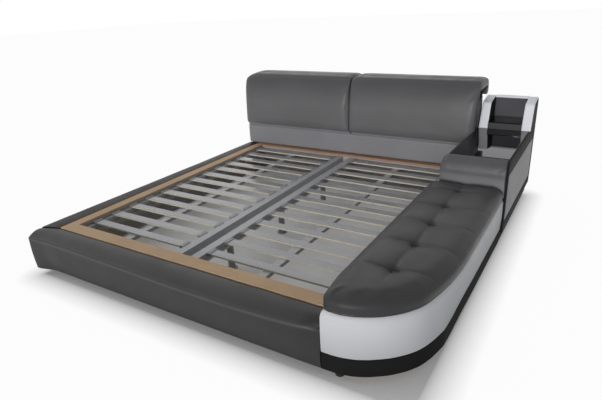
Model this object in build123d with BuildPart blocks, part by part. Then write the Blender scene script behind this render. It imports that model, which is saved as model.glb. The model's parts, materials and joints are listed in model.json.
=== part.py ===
from build123d import *
import math
import os

# Upholstered bed with a tufted side seat and a bedside console, in millimetres.
# X runs to the right, Y from the foot to the head, Z up from the floor.
# The origin is on the floor, in the middle of the space that the bed takes.

os.makedirs("parts", exist_ok=True)

# Driving dimensions: the mattress space and what stands around it
mattress_width = 1800
mattress_length = 2000
left_rail_width = 100
foot_rail_width = 150
seat_width = 410
seat_front_reach = 100
console_width = 420
console_length = 990
console_reach = 360
front_pad_depth = 46

# Heights over the floor
ground_gap = 30
rail_board_top = 240
rail_edge_top = 262
ledge_top = 269
slat_top = 250
seat_band_bottom = 115
seat_band_top = 308
seat_crown_top = 398
console_top = 540
headrest_crown = 885
headrest_cover_height = 150

# Sheet stock and the gaps between pieces
board = 18
rail_board = 25
thin_board = 12
sheet_steel = 3
seat_gap = 0.3
fit_gap = 2
hem = 3
overrun = 20

# Places that the driving dimensions give
overall_width = left_rail_width + mattress_width + console_width
overall_length = foot_rail_width + mattress_length + console_reach
x_left = left_rail_width - overall_width / 2
x_right = x_left + mattress_width
x_middle = x_left + mattress_width / 2
y_foot = foot_rail_width - overall_length / 2
y_head = y_foot + mattress_length
y_middle = y_foot + mattress_length / 2
x_outer = x_left - left_rail_width
seat_outer = x_right + seat_width
seat_front = y_foot - seat_front_reach
console_right = x_right + console_width
console_back = y_head + console_reach
console_face = console_back - console_length
front_board_face = console_face + front_pad_depth
seat_box_end = front_board_face - seat_gap
headboard_top = headrest_crown - headrest_cover_height


def block(x_from, x_to, y_from, y_to, z_from, z_to, mode=Mode.ADD):
    # A box between two places on each axis.
    middle = ((x_from + x_to) / 2, (y_from + y_to) / 2, (z_from + z_to) / 2)
    with Locations(middle):
        Box(abs(x_to - x_from), abs(y_to - y_from), abs(z_to - z_from), mode=mode)


def keep(piece, name):
    piece.part.label = name
    export_step(piece.part, f"parts/{name}.step")


def outline_face(points, arcs, mode=Mode.ADD):
    # A closed face through points. arcs gives, for the run that starts at a point's
    # index, the place that its arc passes through; every other run is straight.
    with BuildLine() as outline:
        for index, start in enumerate(points):
            end = points[(index + 1) % len(points)]
            if index in arcs:
                ThreePointArc(start, arcs[index], end)
            else:
                Line(start, end)
    make_face(outline.edges(), mode=mode)


# Rails: a plywood board with a padded leather cover over its outside and top
rail_crown = 6
rail_shoulder = 32
rail_shoulder_drop = 30
foot_rail_taper = 42
left_rail_taper = 14
rail_lower_round = 14
rail_corner_radius = 55
cover_wrap = 12
bend_share = math.sqrt(0.5)

headboard_board_front = 30
band_front = 5


def rail_cover_section(width, taper):
    # Outline of a rail's cover, as distance out from the mattress space and height.
    crown = rail_edge_top + rail_crown
    shoulder_top = crown - rail_crown / 2
    widest = shoulder_top - rail_shoulder_drop
    low = ground_gap + hem
    toe = width - taper
    inner = rail_board + seat_gap
    under = rail_board_top + seat_gap
    points = [
        (seat_gap, under),
        (seat_gap, rail_edge_top),
        (width - rail_shoulder, shoulder_top),
        (width, widest),
        (toe, low + rail_lower_round),
        (toe - rail_lower_round, low),
        (inner, low),
        (inner, under),
    ]
    shoulder_bend = (
        width - rail_shoulder * (1 - bend_share),
        widest + rail_shoulder_drop * bend_share,
    )
    toe_bend = (
        toe - rail_lower_round * (1 - bend_share),
        low + rail_lower_round * (1 - bend_share),
    )
    arcs = {1: ((width - rail_shoulder) / 2, crown), 2: shoulder_bend, 4: toe_bend}
    outline_face(points, arcs)


with BuildPart() as foot_rail_board:
    block(x_outer + cover_wrap, x_right, y_foot - rail_board, y_foot, ground_gap, rail_board_top)
keep(foot_rail_board, "foot_rail_board")

foot_rail_plane = Plane(origin=(x_right - seat_gap, y_foot, 0), x_dir=(0, -1, 0), z_dir=(-1, 0, 0))
foot_rail_front = y_foot - foot_rail_width
with BuildPart() as foot_rail_cover:
    with BuildSketch(foot_rail_plane):
        rail_cover_section(foot_rail_width, foot_rail_taper)
    extrude(amount=x_right - seat_gap - x_outer)
    corner_bend = rail_corner_radius * (1 - bend_share)
    with BuildSketch(Plane.XY):
        outline_face(
            [
                (x_right, y_foot),
                (x_outer, y_foot),
                (x_outer, foot_rail_front + rail_corner_radius),
                (x_outer + rail_corner_radius, foot_rail_front),
                (x_right, foot_rail_front),
            ],
            {2: (x_outer + corner_bend, foot_rail_front + corner_bend)},
        )
    extrude(amount=rail_edge_top + rail_crown + overrun, mode=Mode.INTERSECT)
keep(foot_rail_cover, "foot_rail_cover")

with BuildPart() as left_rail_board:
    block(
        x_left - rail_board, x_left,
        y_foot, y_head + headboard_board_front - seat_gap,
        ground_gap, rail_board_top,
    )
keep(left_rail_board, "left_rail_board")

left_rail_plane = Plane(origin=(x_left, y_foot + seat_gap, 0), x_dir=(-1, 0, 0), z_dir=(0, 1, 0))
with BuildPart() as left_rail_cover:
    with BuildSketch(left_rail_plane):
        rail_cover_section(left_rail_width, left_rail_taper)
    extrude(amount=mattress_length + band_front - seat_gap - seat_gap)
keep(left_rail_cover, "left_rail_cover")

seat_board_thickness = 15
seat_board_top = seat_band_top - fit_gap
seat_board_bottom = seat_board_top - seat_board_thickness

with BuildPart() as right_rail_board:
    rail_outside = x_right + board
    rail_end = y_head + headboard_board_front - seat_gap
    block(x_right, rail_outside, seat_front + board, rail_end, ground_gap, rail_board_top)
    block(x_right, rail_outside, seat_front + board, seat_box_end, rail_board_top, seat_board_bottom)
keep(right_rail_board, "right_rail_board")

# Ledge: boards around the mattress space, with butt joints on the foot and head boards
ledge_board = 16
ledge_foot_width = 77
ledge_side_width = 66
ledge_head_width = 45
ledge_bottom = ledge_top - ledge_board
ledge_from = y_foot + ledge_foot_width
ledge_to = y_head - ledge_head_width

with BuildPart() as ledge_foot:
    block(x_left, x_right, y_foot, ledge_from, ledge_bottom, ledge_top)
keep(ledge_foot, "ledge_foot")

with BuildPart() as ledge_head:
    block(x_left, x_right, ledge_to, y_head, ledge_bottom, ledge_top)
keep(ledge_head, "ledge_head")

with BuildPart() as ledge_left:
    block(x_left, x_left + ledge_side_width, ledge_from, ledge_to, ledge_bottom, ledge_top)
keep(ledge_left, "ledge_left")

with BuildPart() as ledge_right:
    block(x_right - ledge_side_width, x_right, ledge_from, ledge_to, ledge_bottom, ledge_top)
keep(ledge_right, "ledge_right")

# Bearers: stepped timbers that carry the ledge on top and the slat frames on the step
slat_thickness = 10
tube_height = 30
bearer_depth = 30
bearer_step = 42
tube_top = slat_top - slat_thickness
tube_bottom = tube_top - tube_height
bearer_bottom = tube_bottom - bearer_depth

with BuildPart() as bearer_foot:
    block(x_left, x_right, y_foot, ledge_from + bearer_step, bearer_bottom, tube_bottom)
    block(x_left, x_right, y_foot, ledge_from - fit_gap, tube_bottom, ledge_bottom)
keep(bearer_foot, "bearer_foot")

with BuildPart() as bearer_head:
    block(x_left, x_right, ledge_to - bearer_step, y_head, bearer_bottom, tube_bottom)
    block(x_left, x_right, ledge_to + fit_gap, y_head, tube_bottom, ledge_bottom)
keep(bearer_head, "bearer_head")

for side_name, edge, inward in (("left", x_left, 1), ("right", x_right, -1)):
    with BuildPart() as bearer_side:
        step = edge + inward * (ledge_side_width + bearer_step)
        upright = edge + inward * (ledge_side_width - fit_gap)
        block(edge, step, ledge_from + bearer_step, ledge_to - bearer_step, bearer_bottom, tube_bottom)
        block(edge, upright, ledge_from - fit_gap, ledge_to + fit_gap, tube_bottom, ledge_bottom)
    keep(bearer_side, f"bearer_{side_name}")

# Slat frames: one welded steel frame for each half of the bed, with flat slats across it
frame_gap = 62
side_tube_width = 30
inner_tube_width = 50
end_tube_width = 30
middle_bar_width = 45
middle_bar_height = 20
middle_bar_share = 0.46
tube_wall = 1.5
slat_count = 13
slat_width = 54
first_slat_setback = 86
last_slat_setback = 42
holder_wall = 3
holder_depth = 26

frame_from = ledge_from + fit_gap
frame_to = ledge_to - fit_gap
frame_outer = mattress_width / 2 - ledge_side_width - fit_gap
frame_inner = frame_gap / 2
inner_tube_edge = frame_inner + inner_tube_width
slat_span = frame_to - frame_from - first_slat_setback - last_slat_setback - slat_width
slat_pitch = slat_span / (slat_count - 1)
first_slat = frame_from + first_slat_setback
slat_outer = frame_outer - holder_wall


def make_slat_frame(side):
    # Tubes are drawn from the bed's middle line outwards; side is -1 left, 1 right.
    outer = x_middle + side * frame_outer
    outer_tube = x_middle + side * (frame_outer - side_tube_width)
    inner = x_middle + side * frame_inner
    inner_tube = x_middle + side * inner_tube_edge
    bar = x_middle + side * (frame_outer - (frame_outer - frame_inner) * middle_bar_share)
    bar_from = bar - middle_bar_width / 2
    bar_to = bar + middle_bar_width / 2
    bar_bottom = tube_top - middle_bar_height
    end_tubes = ((frame_from, frame_from + end_tube_width), (frame_to - end_tube_width, frame_to))
    hollow = side * tube_wall
    with BuildPart() as frame:
        block(outer_tube, outer, frame_from, frame_to, tube_bottom, tube_top)
        block(inner, inner_tube, frame_from, frame_to, tube_bottom, slat_top)
        block(bar_from, bar_to, frame_from, frame_to, bar_bottom, tube_top)
        for end_from, end_to in end_tubes:
            block(inner_tube, outer_tube, end_from, end_to, tube_bottom, tube_top)
        for end_from, end_to in end_tubes:
            block(
                inner + hollow, outer - hollow,
                end_from + tube_wall, end_to - tube_wall,
                tube_bottom + tube_wall, tube_top - tube_wall,
                mode=Mode.SUBTRACT,
            )
        block(
            outer_tube + hollow, outer - hollow, frame_from, frame_to,
            tube_bottom + tube_wall, tube_top - tube_wall, mode=Mode.SUBTRACT,
        )
        block(
            inner + hollow, inner_tube - hollow, frame_from, frame_to,
            tube_bottom + tube_wall, slat_top - tube_wall, mode=Mode.SUBTRACT,
        )
        block(
            bar_from + tube_wall, bar_to - tube_wall, frame_from, frame_to,
            bar_bottom + tube_wall, tube_top - tube_wall, mode=Mode.SUBTRACT,
        )
    return frame


def make_slats(side):
    with BuildPart() as slats:
        for count in range(slat_count):
            near = first_slat + count * slat_pitch
            block(
                x_middle + side * inner_tube_edge, x_middle + side * slat_outer,
                near, near + slat_width, tube_top, slat_top,
            )
    return slats


for side_name, side in (("left", -1), ("right", 1)):
    keep(make_slat_frame(side), f"slat_frame_{side_name}")
    keep(make_slats(side), f"slats_{side_name}")

with BuildPart() as slat_holders:
    for side in (-1, 1):
        outer_end = x_middle + side * frame_outer
        inner_end = x_middle + side * inner_tube_edge
        for count in range(slat_count):
            near = first_slat + count * slat_pitch
            far = near + slat_width
            block(
                outer_end - side * holder_depth, outer_end,
                near - holder_wall, far + holder_wall, tube_top, slat_top + holder_wall,
            )
            block(
                inner_end, inner_end + side * holder_depth,
                near - holder_wall, far + holder_wall, tube_top - holder_wall, slat_top + holder_wall,
            )
            block(
                inner_end, x_middle + side * slat_outer,
                near, far, tube_top, slat_top, mode=Mode.SUBTRACT,
            )
keep(slat_holders, "slat_holders")

# Centre beam and its legs, under the two inner tubes
beam_overlap = 24
leg_radius = 20
leg_pad_radius = 32
leg_pad_height = 8
leg_place_shares = (0.18, 0.48, 0.8)
beam_from = ledge_from + bearer_step
beam_to = ledge_to - bearer_step
beam_half_width = frame_inner + beam_overlap

with BuildPart() as centre_beam:
    block(
        x_middle - beam_half_width, x_middle + beam_half_width,
        beam_from, beam_to, bearer_bottom, tube_bottom,
    )
keep(centre_beam, "centre_beam")

with BuildPart() as centre_legs:
    for share in leg_place_shares:
        leg_y = beam_from + share * (beam_to - beam_from)
        with BuildSketch(Plane.XY):
            with Locations((x_middle, leg_y)):
                Circle(leg_pad_radius)
        extrude(amount=leg_pad_height)
        with BuildSketch(Plane.XY):
            with Locations((x_middle, leg_y)):
                Circle(leg_radius)
        extrude(amount=bearer_bottom)
keep(centre_legs, "centre_legs")

# Side seat: its plan is a straight front, a tight arc, a wide arc and a straight side
nose_radius = 333
side_radius = 1524
nose_turn = math.radians(75)
middle_turn = (nose_turn + math.pi / 2) / 2
nose_x = seat_outer - nose_radius * math.sin(nose_turn) - side_radius * (1 - math.sin(nose_turn))
nose_y = seat_front + nose_radius
side_x = nose_x + (nose_radius - side_radius) * math.sin(nose_turn)
side_y = nose_y - (nose_radius - side_radius) * math.cos(nose_turn)

band_thickness = 14
bent_ply = 9
plinth_inset = 8
shell_inset = band_thickness + seat_gap
inside_inset = shell_inset + bent_ply
seat_inside = x_right + board


def seat_plan(inset, inner, back, mode=Mode.ADD):
    # The seat's plan, drawn in by inset, from the place inner on its left to back.
    nose = nose_radius - inset
    side = side_radius - inset
    points = [
        (inner, seat_front + inset),
        (nose_x, seat_front + inset),
        (nose_x + nose * math.sin(nose_turn), nose_y - nose * math.cos(nose_turn)),
        (seat_outer - inset, side_y),
        (seat_outer - inset, back),
        (inner, back),
    ]
    nose_bend = (
        nose_x + nose * math.sin(nose_turn / 2),
        nose_y - nose * math.cos(nose_turn / 2),
    )
    side_bend = (
        side_x + side * math.sin(middle_turn),
        side_y - side * math.cos(middle_turn),
    )
    outline_face(points, {1: nose_bend, 2: side_bend}, mode=mode)


def seat_shell(outer_inset, inner_inset, inner, back):
    # The wall between two plans, open to the left and to the back.
    seat_plan(outer_inset, inner, back)
    seat_plan(inner_inset, inner - overrun, back + overrun, mode=Mode.SUBTRACT)


with BuildPart() as chaise_bottom_board:
    with BuildSketch(Plane.XY.offset(ground_gap)):
        seat_plan(inside_inset, seat_inside, seat_box_end)
    extrude(amount=thin_board)
keep(chaise_bottom_board, "chaise_bottom_board")

with BuildPart() as chaise_curved_side:
    with BuildSketch(Plane.XY.offset(ground_gap)):
        seat_shell(shell_inset, inside_inset, seat_inside, seat_box_end)
    extrude(amount=seat_board_bottom - ground_gap)
keep(chaise_curved_side, "chaise_curved_side")

rib_place_shares = (0.36, 0.68)
chaise_floor = ground_gap + thin_board
chaise_length = console_face - seat_front
with BuildPart() as chaise_cross_boards:
    with BuildSketch(Plane.XY.offset(chaise_floor)):
        seat_plan(inside_inset, seat_inside, seat_box_end)
    extrude(amount=seat_board_bottom - chaise_floor)
    rib_edges = [seat_front]
    for share in rib_place_shares:
        rib = seat_front + share * chaise_length
        rib_edges += [rib, rib + thin_board]
    rib_edges += [seat_box_end - board]
    for gap_from, gap_to in zip(rib_edges[::2], rib_edges[1::2]):
        block(
            x_right, seat_outer, gap_from, gap_to,
            ground_gap, seat_board_top, mode=Mode.SUBTRACT,
        )
keep(chaise_cross_boards, "chaise_cross_boards")

with BuildPart() as chaise_seat_board:
    with BuildSketch(Plane.XY.offset(seat_board_bottom)):
        seat_plan(shell_inset, x_right, seat_box_end)
    extrude(amount=seat_board_thickness)
keep(chaise_seat_board, "chaise_seat_board")

with BuildPart() as chaise_plinth:
    with BuildSketch(Plane.XY.offset(ground_gap + hem)):
        seat_shell(plinth_inset, shell_inset - seat_gap, x_right, console_face)
    extrude(amount=seat_band_bottom - seat_gap - ground_gap - hem)
keep(chaise_plinth, "chaise_plinth")

band_round = 8
with BuildPart() as chaise_band:
    with BuildSketch(Plane.XY.offset(seat_band_bottom)):
        seat_shell(0, band_thickness, x_right, console_face)
    extrude(amount=seat_band_top - seat_band_bottom)
    band_top_edges = chaise_band.faces().sort_by(Axis.Z)[-1].edges()
    band_outer_edges = band_top_edges.filter_by(GeomType.CIRCLE).sort_by(SortBy.RADIUS)
    fillet([band_outer_edges[1], band_outer_edges[-1]], radius=band_round)
keep(chaise_band, "chaise_band")

# Tufted cushion: plans stacked from its base through its widest part to the crown
cushion_overhang = 30
cushion_base = seat_band_top + seat_gap
cushion_height = seat_crown_top - cushion_base
cushion_back = console_face - seat_gap
cushion_edge = 84
cushion_level_shares = (0, 0.26, 0.62, 0.86, 1)
cushion_draw_shares = (0.2, 0, 0.08, 0.34, 1)
inner_draw_share = 0.6
button_radius = 11
button_height = 9
tuft_radius = 52
tuft_depth = 30
crease_width = 30
crease_depth = 9
button_count = 5
first_button_setback = 315
last_button_setback = 151
button_run = chaise_length - first_button_setback - last_button_setback
button_pitch = button_run / (button_count - 1)
button_row_share = 0.45
button_x = x_right + button_row_share * seat_width
cushion_inner = x_right - cushion_overhang

with BuildPart() as chaise_cushion:
    for level_share, draw_share in zip(cushion_level_shares, cushion_draw_shares):
        draw = cushion_edge * draw_share
        with BuildSketch(Plane.XY.offset(cushion_base + cushion_height * level_share)):
            seat_plan(draw, cushion_inner + draw * inner_draw_share, cushion_back - draw)
    loft(ruled=True)
    for count in range(button_count):
        button_y = seat_front + first_button_setback + count * button_pitch
        tuft_floor = seat_crown_top - tuft_depth
        with BuildSketch(Plane.XY.offset(tuft_floor)):
            with Locations((button_x, button_y)):
                Circle(button_radius)
        with BuildSketch(Plane.XY.offset(seat_crown_top)):
            with Locations((button_x, button_y)):
                Circle(tuft_radius)
        loft(mode=Mode.SUBTRACT)
        with BuildSketch(Plane.YZ.offset(cushion_inner - overrun)):
            with Locations((button_y, seat_crown_top)):
                Polygon(
                    (-crease_width / 2, 0), (0, -crease_depth), (crease_width / 2, 0),
                    align=None,
                )
        extrude(amount=seat_outer - cushion_inner + overrun + overrun, mode=Mode.SUBTRACT)
    with BuildSketch(Plane.XZ.offset(-console_face)):
        with Locations((button_x, seat_crown_top)):
            Polygon(
                (-crease_width / 2, 0), (0, -crease_depth), (crease_width / 2, 0),
                align=None,
            )
    extrude(amount=console_face - seat_front, mode=Mode.SUBTRACT)
keep(chaise_cushion, "chaise_cushion")

with BuildPart() as chaise_buttons:
    for count in range(button_count):
        button_y = seat_front + first_button_setback + count * button_pitch
        with BuildSketch(Plane.XY.offset(seat_crown_top - tuft_depth)):
            with Locations((button_x, button_y)):
                Circle(button_radius)
        extrude(amount=button_height)
    chamfer(chaise_buttons.faces().filter_by(Axis.Z).group_by(Axis.Z)[-1].edges(), button_height / 3)
keep(chaise_buttons, "chaise_buttons")

# Console: a plywood box beside the headboard, with a glass top
console_inset = 72
console_skin = 12
glass_thickness = 8
glass_setback = 58
glass_length = 690
glass_margin = 4
console_left = x_right + console_inset
side_outside = console_right - console_skin
side_inside = side_outside - board
left_inside = console_left + board
front_board_back = front_board_face + board
back_board_skin = 7
back_board_back = console_back - back_board_skin
back_board_face = back_board_back - board
glass_top = console_top
glass_bottom = glass_top - glass_thickness
top_board_top = glass_bottom - seat_gap
top_board_bottom = top_board_top - board
glass_front = console_face + glass_setback
glass_back = glass_front + glass_length

with BuildPart() as console_left_side:
    block(console_left, left_inside, front_board_face, back_board_back, ground_gap, top_board_bottom)
keep(console_left_side, "console_left_side")

plinth_top = 100
with BuildPart() as console_right_side:
    block(side_inside, side_outside, front_board_face, back_board_back, plinth_top, top_board_bottom)
keep(console_right_side, "console_right_side")

front_board_top = top_board_bottom
with BuildPart() as console_front_board:
    block(left_inside, side_inside, front_board_face, front_board_back, ground_gap, front_board_top)
keep(console_front_board, "console_front_board")

# The arms and the open compartment between them
arm_width = 60
arm_setback = 5
arm_base = console_top + seat_gap
arm_trim = 3
arm_bend_y = 62
arm_bend_z = 712
arm_top_z = 738
arm_crest_setback = 30
arm_tail_drop = 36
shelf_thickness = 8
shelf_top = 588
back_trim_height = 15
back_trim_depth = 34
arm_front = glass_back + seat_gap
left_arm = console_left + arm_setback
left_arm_inside = left_arm + arm_width
right_arm_inside = console_right - arm_width
crest_y = console_back - arm_crest_setback
compartment_back = back_board_face

with BuildPart() as console_back_board:
    block(left_inside, side_inside, back_board_face, back_board_back, ground_gap, top_board_bottom)
    block(
        left_arm_inside + seat_gap, right_arm_inside - seat_gap,
        back_board_face, back_board_back, top_board_bottom, arm_top_z - back_trim_height - seat_gap,
    )
keep(console_back_board, "console_back_board")

with BuildPart() as console_floor_board:
    block(left_inside, side_inside, front_board_back, back_board_face, ground_gap, ground_gap + thin_board)
keep(console_floor_board, "console_floor_board")

with BuildPart() as console_top_board:
    block(console_left, side_outside, front_board_face, back_board_face, top_board_bottom, top_board_top)
keep(console_top_board, "console_top_board")

with BuildPart() as console_glass:
    block(
        console_left - glass_margin, side_outside,
        glass_front, glass_back, glass_bottom, glass_top,
    )
    chamfer(console_glass.faces().sort_by(Axis.Z)[-1].edges(), glass_thickness / 4)
keep(console_glass, "console_glass")

# Padded front: a vertical face that rolls back to the glass
front_pad_setback = 22
front_pad_left = x_right + front_pad_setback
front_pad_right = console_right - console_skin - seat_gap
front_pad_low = seat_band_top + fit_gap
front_pad_bend = 90
pad_front = console_face + seat_gap
roll_bend_shares = (0.2, 0.8)


def front_pad_section(draw):
    # Outline in Y and Z of the padded front, drawn in by draw.
    face = pad_front + draw
    roll_from = glass_bottom - front_pad_bend
    rim = glass_top
    back = glass_front - seat_gap
    points = [
        (face + hem, front_pad_low),
        (face, front_pad_low + hem),
        (face, roll_from),
        (back, rim),
        (back, top_board_top + seat_gap),
        (front_board_face - seat_gap, top_board_top + seat_gap),
        (front_board_face - seat_gap, front_pad_low),
    ]
    roll_rise = rim - roll_from
    roll_bend = (
        face + (back - face) * roll_bend_shares[0],
        roll_from + roll_rise * roll_bend_shares[1],
    )
    outline_face(points, {2: roll_bend})


pad_end_run = 34
pad_end_draw = 6
pad_end_shares = ((0, 1), (0.35, 0.33), (1, 0))
with BuildPart() as console_front_pad:
    for run_share, draw_share in pad_end_shares:
        with BuildSketch(Plane.YZ.offset(front_pad_left + pad_end_run * run_share)):
            front_pad_section(pad_end_draw * draw_share)
    with BuildSketch(Plane.YZ.offset(front_pad_right)):
        front_pad_section(0)
    loft(ruled=True)
keep(console_front_pad, "console_front_pad")

# Padded inner side, towards the mattress, that stops short of the headrest's path
inner_pad_length = 513
inner_pad_low = rail_board_top + fit_gap
inner_pad_bend_z = 450
inner_pad_shoulder = 18
inner_pad_bend_rise = 54
inner_pad_end = console_face + inner_pad_length
with BuildPart() as console_inner_pad:
    inner_pad_start = front_board_face + fit_gap
    with BuildSketch(Plane.XZ.offset(-inner_pad_start)):
        pad_wall = console_left - seat_gap
        pad_out = seat_inside + fit_gap
        outline_face(
            [
                (pad_wall, inner_pad_low),
                (pad_wall, glass_bottom - fit_gap),
                (pad_wall - inner_pad_shoulder / 2, glass_bottom - fit_gap),
                (pad_out, inner_pad_bend_z),
                (pad_out, inner_pad_low),
            ],
            {2: (pad_out + inner_pad_shoulder / 2, inner_pad_bend_z + inner_pad_bend_rise)},
        )
    extrude(amount=-(inner_pad_end - inner_pad_start))
    block(
        x_right, console_left, console_face, glass_front + seat_gap,
        top_board_bottom, console_top, mode=Mode.SUBTRACT,
    )
keep(console_inner_pad, "console_inner_pad")

# Outer side: a dark leather border around a white padded panel, over a set-back plinth
panel_margin = 28
panel_low = 158
panel_high = 448
panel_recess = 6
panel_proud = 1
border_face = side_outside + seat_gap
panel_from = console_face + panel_margin
panel_to = console_back - panel_margin

with BuildPart() as console_side_border:
    block(border_face, console_right, console_face, console_back, plinth_top + seat_gap, console_top)
    fillet(
        console_side_border.edges().filter_by(Axis.Y).group_by(Axis.X)[-1].sort_by(Axis.Z)[-1],
        radius=panel_recess,
    )
    block(
        console_right - panel_recess, console_right + overrun,
        panel_from, panel_to, panel_low, panel_high, mode=Mode.SUBTRACT,
    )
keep(console_side_border, "console_side_border")

with BuildPart() as console_side_panel:
    block(
        console_right - panel_recess + seat_gap, console_right - seat_gap,
        panel_from + panel_proud, panel_to - panel_proud,
        panel_low + panel_proud, panel_high - panel_proud,
    )
    fillet(console_side_panel.faces().sort_by(Axis.X)[-1].edges(), radius=panel_recess / 2)
keep(console_side_panel, "console_side_panel")

with BuildPart() as console_plinth:
    plinth_face = seat_outer - plinth_inset
    seat_plinth_back = seat_outer - shell_inset + seat_gap
    block(
        seat_plinth_back, plinth_face, console_face + seat_gap, front_board_face,
        ground_gap + hem, plinth_top,
    )
    block(side_inside, plinth_face, front_board_face, back_board_back, ground_gap + hem, plinth_top)
keep(console_plinth, "console_plinth")


def arm_line(inset):
    # The arm's front and top, from its foot over the bend to the crest, drawn in.
    return [
        (arm_front + inset, arm_base),
        (arm_front + arm_bend_y + inset, arm_bend_z - inset),
        (crest_y, arm_top_z - inset),
    ]


def make_arm(x_from, x_to):
    tail = console_back
    points = arm_line(arm_trim + seat_gap)
    points += [(tail, arm_top_z - arm_tail_drop), (tail, arm_base)]
    with BuildPart() as arm:
        with BuildSketch(Plane.YZ.offset(x_from)):
            outline_face(points, {})
        extrude(amount=x_to - x_from)
    return arm


arm_spans = (("left", left_arm, left_arm_inside), ("right", right_arm_inside, console_right))
for side_name, arm_from, arm_to in arm_spans:
    keep(make_arm(arm_from, arm_to), f"console_arm_{side_name}")

with BuildPart() as arm_trims:
    for side_name, arm_from, arm_to in arm_spans:
        with BuildSketch(Plane.YZ.offset(arm_from)):
            outline_face(arm_line(0) + arm_line(arm_trim)[::-1], {})
        extrude(amount=arm_to - arm_from)
keep(arm_trims, "arm_trims")

with BuildPart() as console_back_trim:
    trim_front = back_board_back - back_trim_depth
    trim_low = arm_top_z - back_trim_height
    block(
        left_arm_inside + seat_gap, right_arm_inside - seat_gap,
        trim_front, back_board_back, trim_low, arm_top_z,
    )
    fillet(
        console_back_trim.edges().filter_by(Axis.X).group_by(Axis.Z)[-1].sort_by(Axis.Y)[0],
        radius=back_trim_height / 3,
    )
keep(console_back_trim, "console_back_trim")

with BuildPart() as console_shelf:
    block(
        left_arm_inside + seat_gap, right_arm_inside - seat_gap,
        arm_front, compartment_back - seat_gap, shelf_top - shelf_thickness, shelf_top,
    )
keep(console_shelf, "console_shelf")

with BuildPart() as console_cross_rail:
    block(
        left_arm_inside + seat_gap, right_arm_inside - seat_gap,
        arm_front + fit_gap, compartment_back - seat_gap,
        top_board_top, shelf_top - shelf_thickness,
    )
    block(
        left_arm_inside + board, right_arm_inside - board,
        arm_front + fit_gap + board, compartment_back - board,
        top_board_top, shelf_top - shelf_thickness, mode=Mode.SUBTRACT,
    )
keep(console_cross_rail, "console_cross_rail")

# Headboard: a plywood carcass, stepped forward at its foot behind the lower band
headboard_setback = 75
headboard_depth = 120
headboard_right_reach = 56
headboard_left_inset = 10
headboard_step = 440
headboard_board = 15
headboard_rib_count = 5
headboard_front = y_head + headboard_setback
headboard_back = headboard_front + headboard_depth
frame_left = x_outer + headboard_left_inset
frame_right = x_right + headboard_right_reach
low_front = y_head + headboard_board_front

with BuildPart() as headboard_frame:
    block(frame_left, frame_right, low_front, low_front + headboard_board, ground_gap, headboard_step)
    block(
        frame_left, frame_right, low_front, headboard_front + headboard_board,
        headboard_step - headboard_board, headboard_step,
    )
    block(
        frame_left, frame_right, headboard_front, headboard_front + headboard_board,
        headboard_step - headboard_board, headboard_top,
    )
    block(
        frame_left, frame_right, headboard_front, headboard_back,
        headboard_top - headboard_board, headboard_top,
    )
    block(
        frame_left, frame_right, headboard_back - headboard_board, headboard_back,
        ground_gap, headboard_top,
    )
    rib_pitch = (frame_right - frame_left - headboard_board) / (headboard_rib_count - 1)
    for count in range(headboard_rib_count):
        rib = frame_left + count * rib_pitch
        block(rib, rib + headboard_board, low_front, headboard_back, ground_gap, headboard_step)
        block(rib, rib + headboard_board, headboard_front, headboard_back, headboard_step, headboard_top)
keep(headboard_frame, "headboard_frame")

band_top = 435
band_roll = 16
band_end = 2
with BuildPart() as headboard_lower_band:
    band_face = y_head + band_front
    band_rear = low_front - seat_gap
    band_low = ledge_top + seat_gap
    with BuildSketch(Plane.YZ.offset(x_outer + band_end)):
        outline_face(
            [
                (band_rear, band_low),
                (band_rear, band_top),
                (band_face + band_roll, band_top),
                (band_face, band_top - band_roll),
                (band_face, band_low),
            ],
            {2: (band_face + band_roll * (1 - bend_share), band_top - band_roll * (1 - bend_share))},
        )
    extrude(amount=frame_right - x_outer - band_end)
keep(headboard_lower_band, "headboard_lower_band")

back_cover = 4
with BuildPart() as headboard_back_cover:
    cover_low = ground_gap + hem
    cover_back = headboard_back + back_cover
    block(
        frame_left - back_cover, frame_right + back_cover,
        headboard_back + seat_gap, cover_back, cover_low, headboard_top,
    )
    for end_from, end_to in (
        (frame_left - back_cover, frame_left - seat_gap),
        (frame_right + seat_gap, frame_right + back_cover),
    ):
        block(end_from, end_to, low_front + fit_gap, cover_back, cover_low, headboard_step)
        block(end_from, end_to, headboard_front, cover_back, headboard_step, headboard_top)
keep(headboard_back_cover, "headboard_back_cover")

# Headrests: padded L-shaped frames that tilt forward on hinges under their front boards
hinge_setback = 39
hinge_z = 475
split_reach = 915
headrest_gap = 4
headrest_right_reach = 62
hinge_y = y_head + hinge_setback
headrest_split = x_left + split_reach
headrest_right_end = x_right + headrest_right_reach
headrest_overhang = 45
headrest_board_low = 490
headrest_pad_low = 455
headrest_notch = 25
front_top_setback = 50
front_top_drop = 5
top_board_drop = 85
headrest_top_board = headrest_crown - top_board_drop
headrest_crown_setback = 120
headrest_reach = 300
lip_thickness = 65
lip_height = 123
lip_low = headrest_crown - lip_height
lip_round = 18
front_rise_drop = 85
front_rise = headrest_crown - front_rise_drop
front_lean = 25
rear_drop = 40
rear_top_drop = 13
rear_bend_drop = 20
rear_round = 45
bottom_round = 30
bottom_lean = 3
bottom_rise = 46
headrest_board_front = headboard_board_front
headrest_board_back = headrest_board_front + board
top_board_reach = headrest_reach - lip_thickness / 2
top_board = 15


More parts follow.
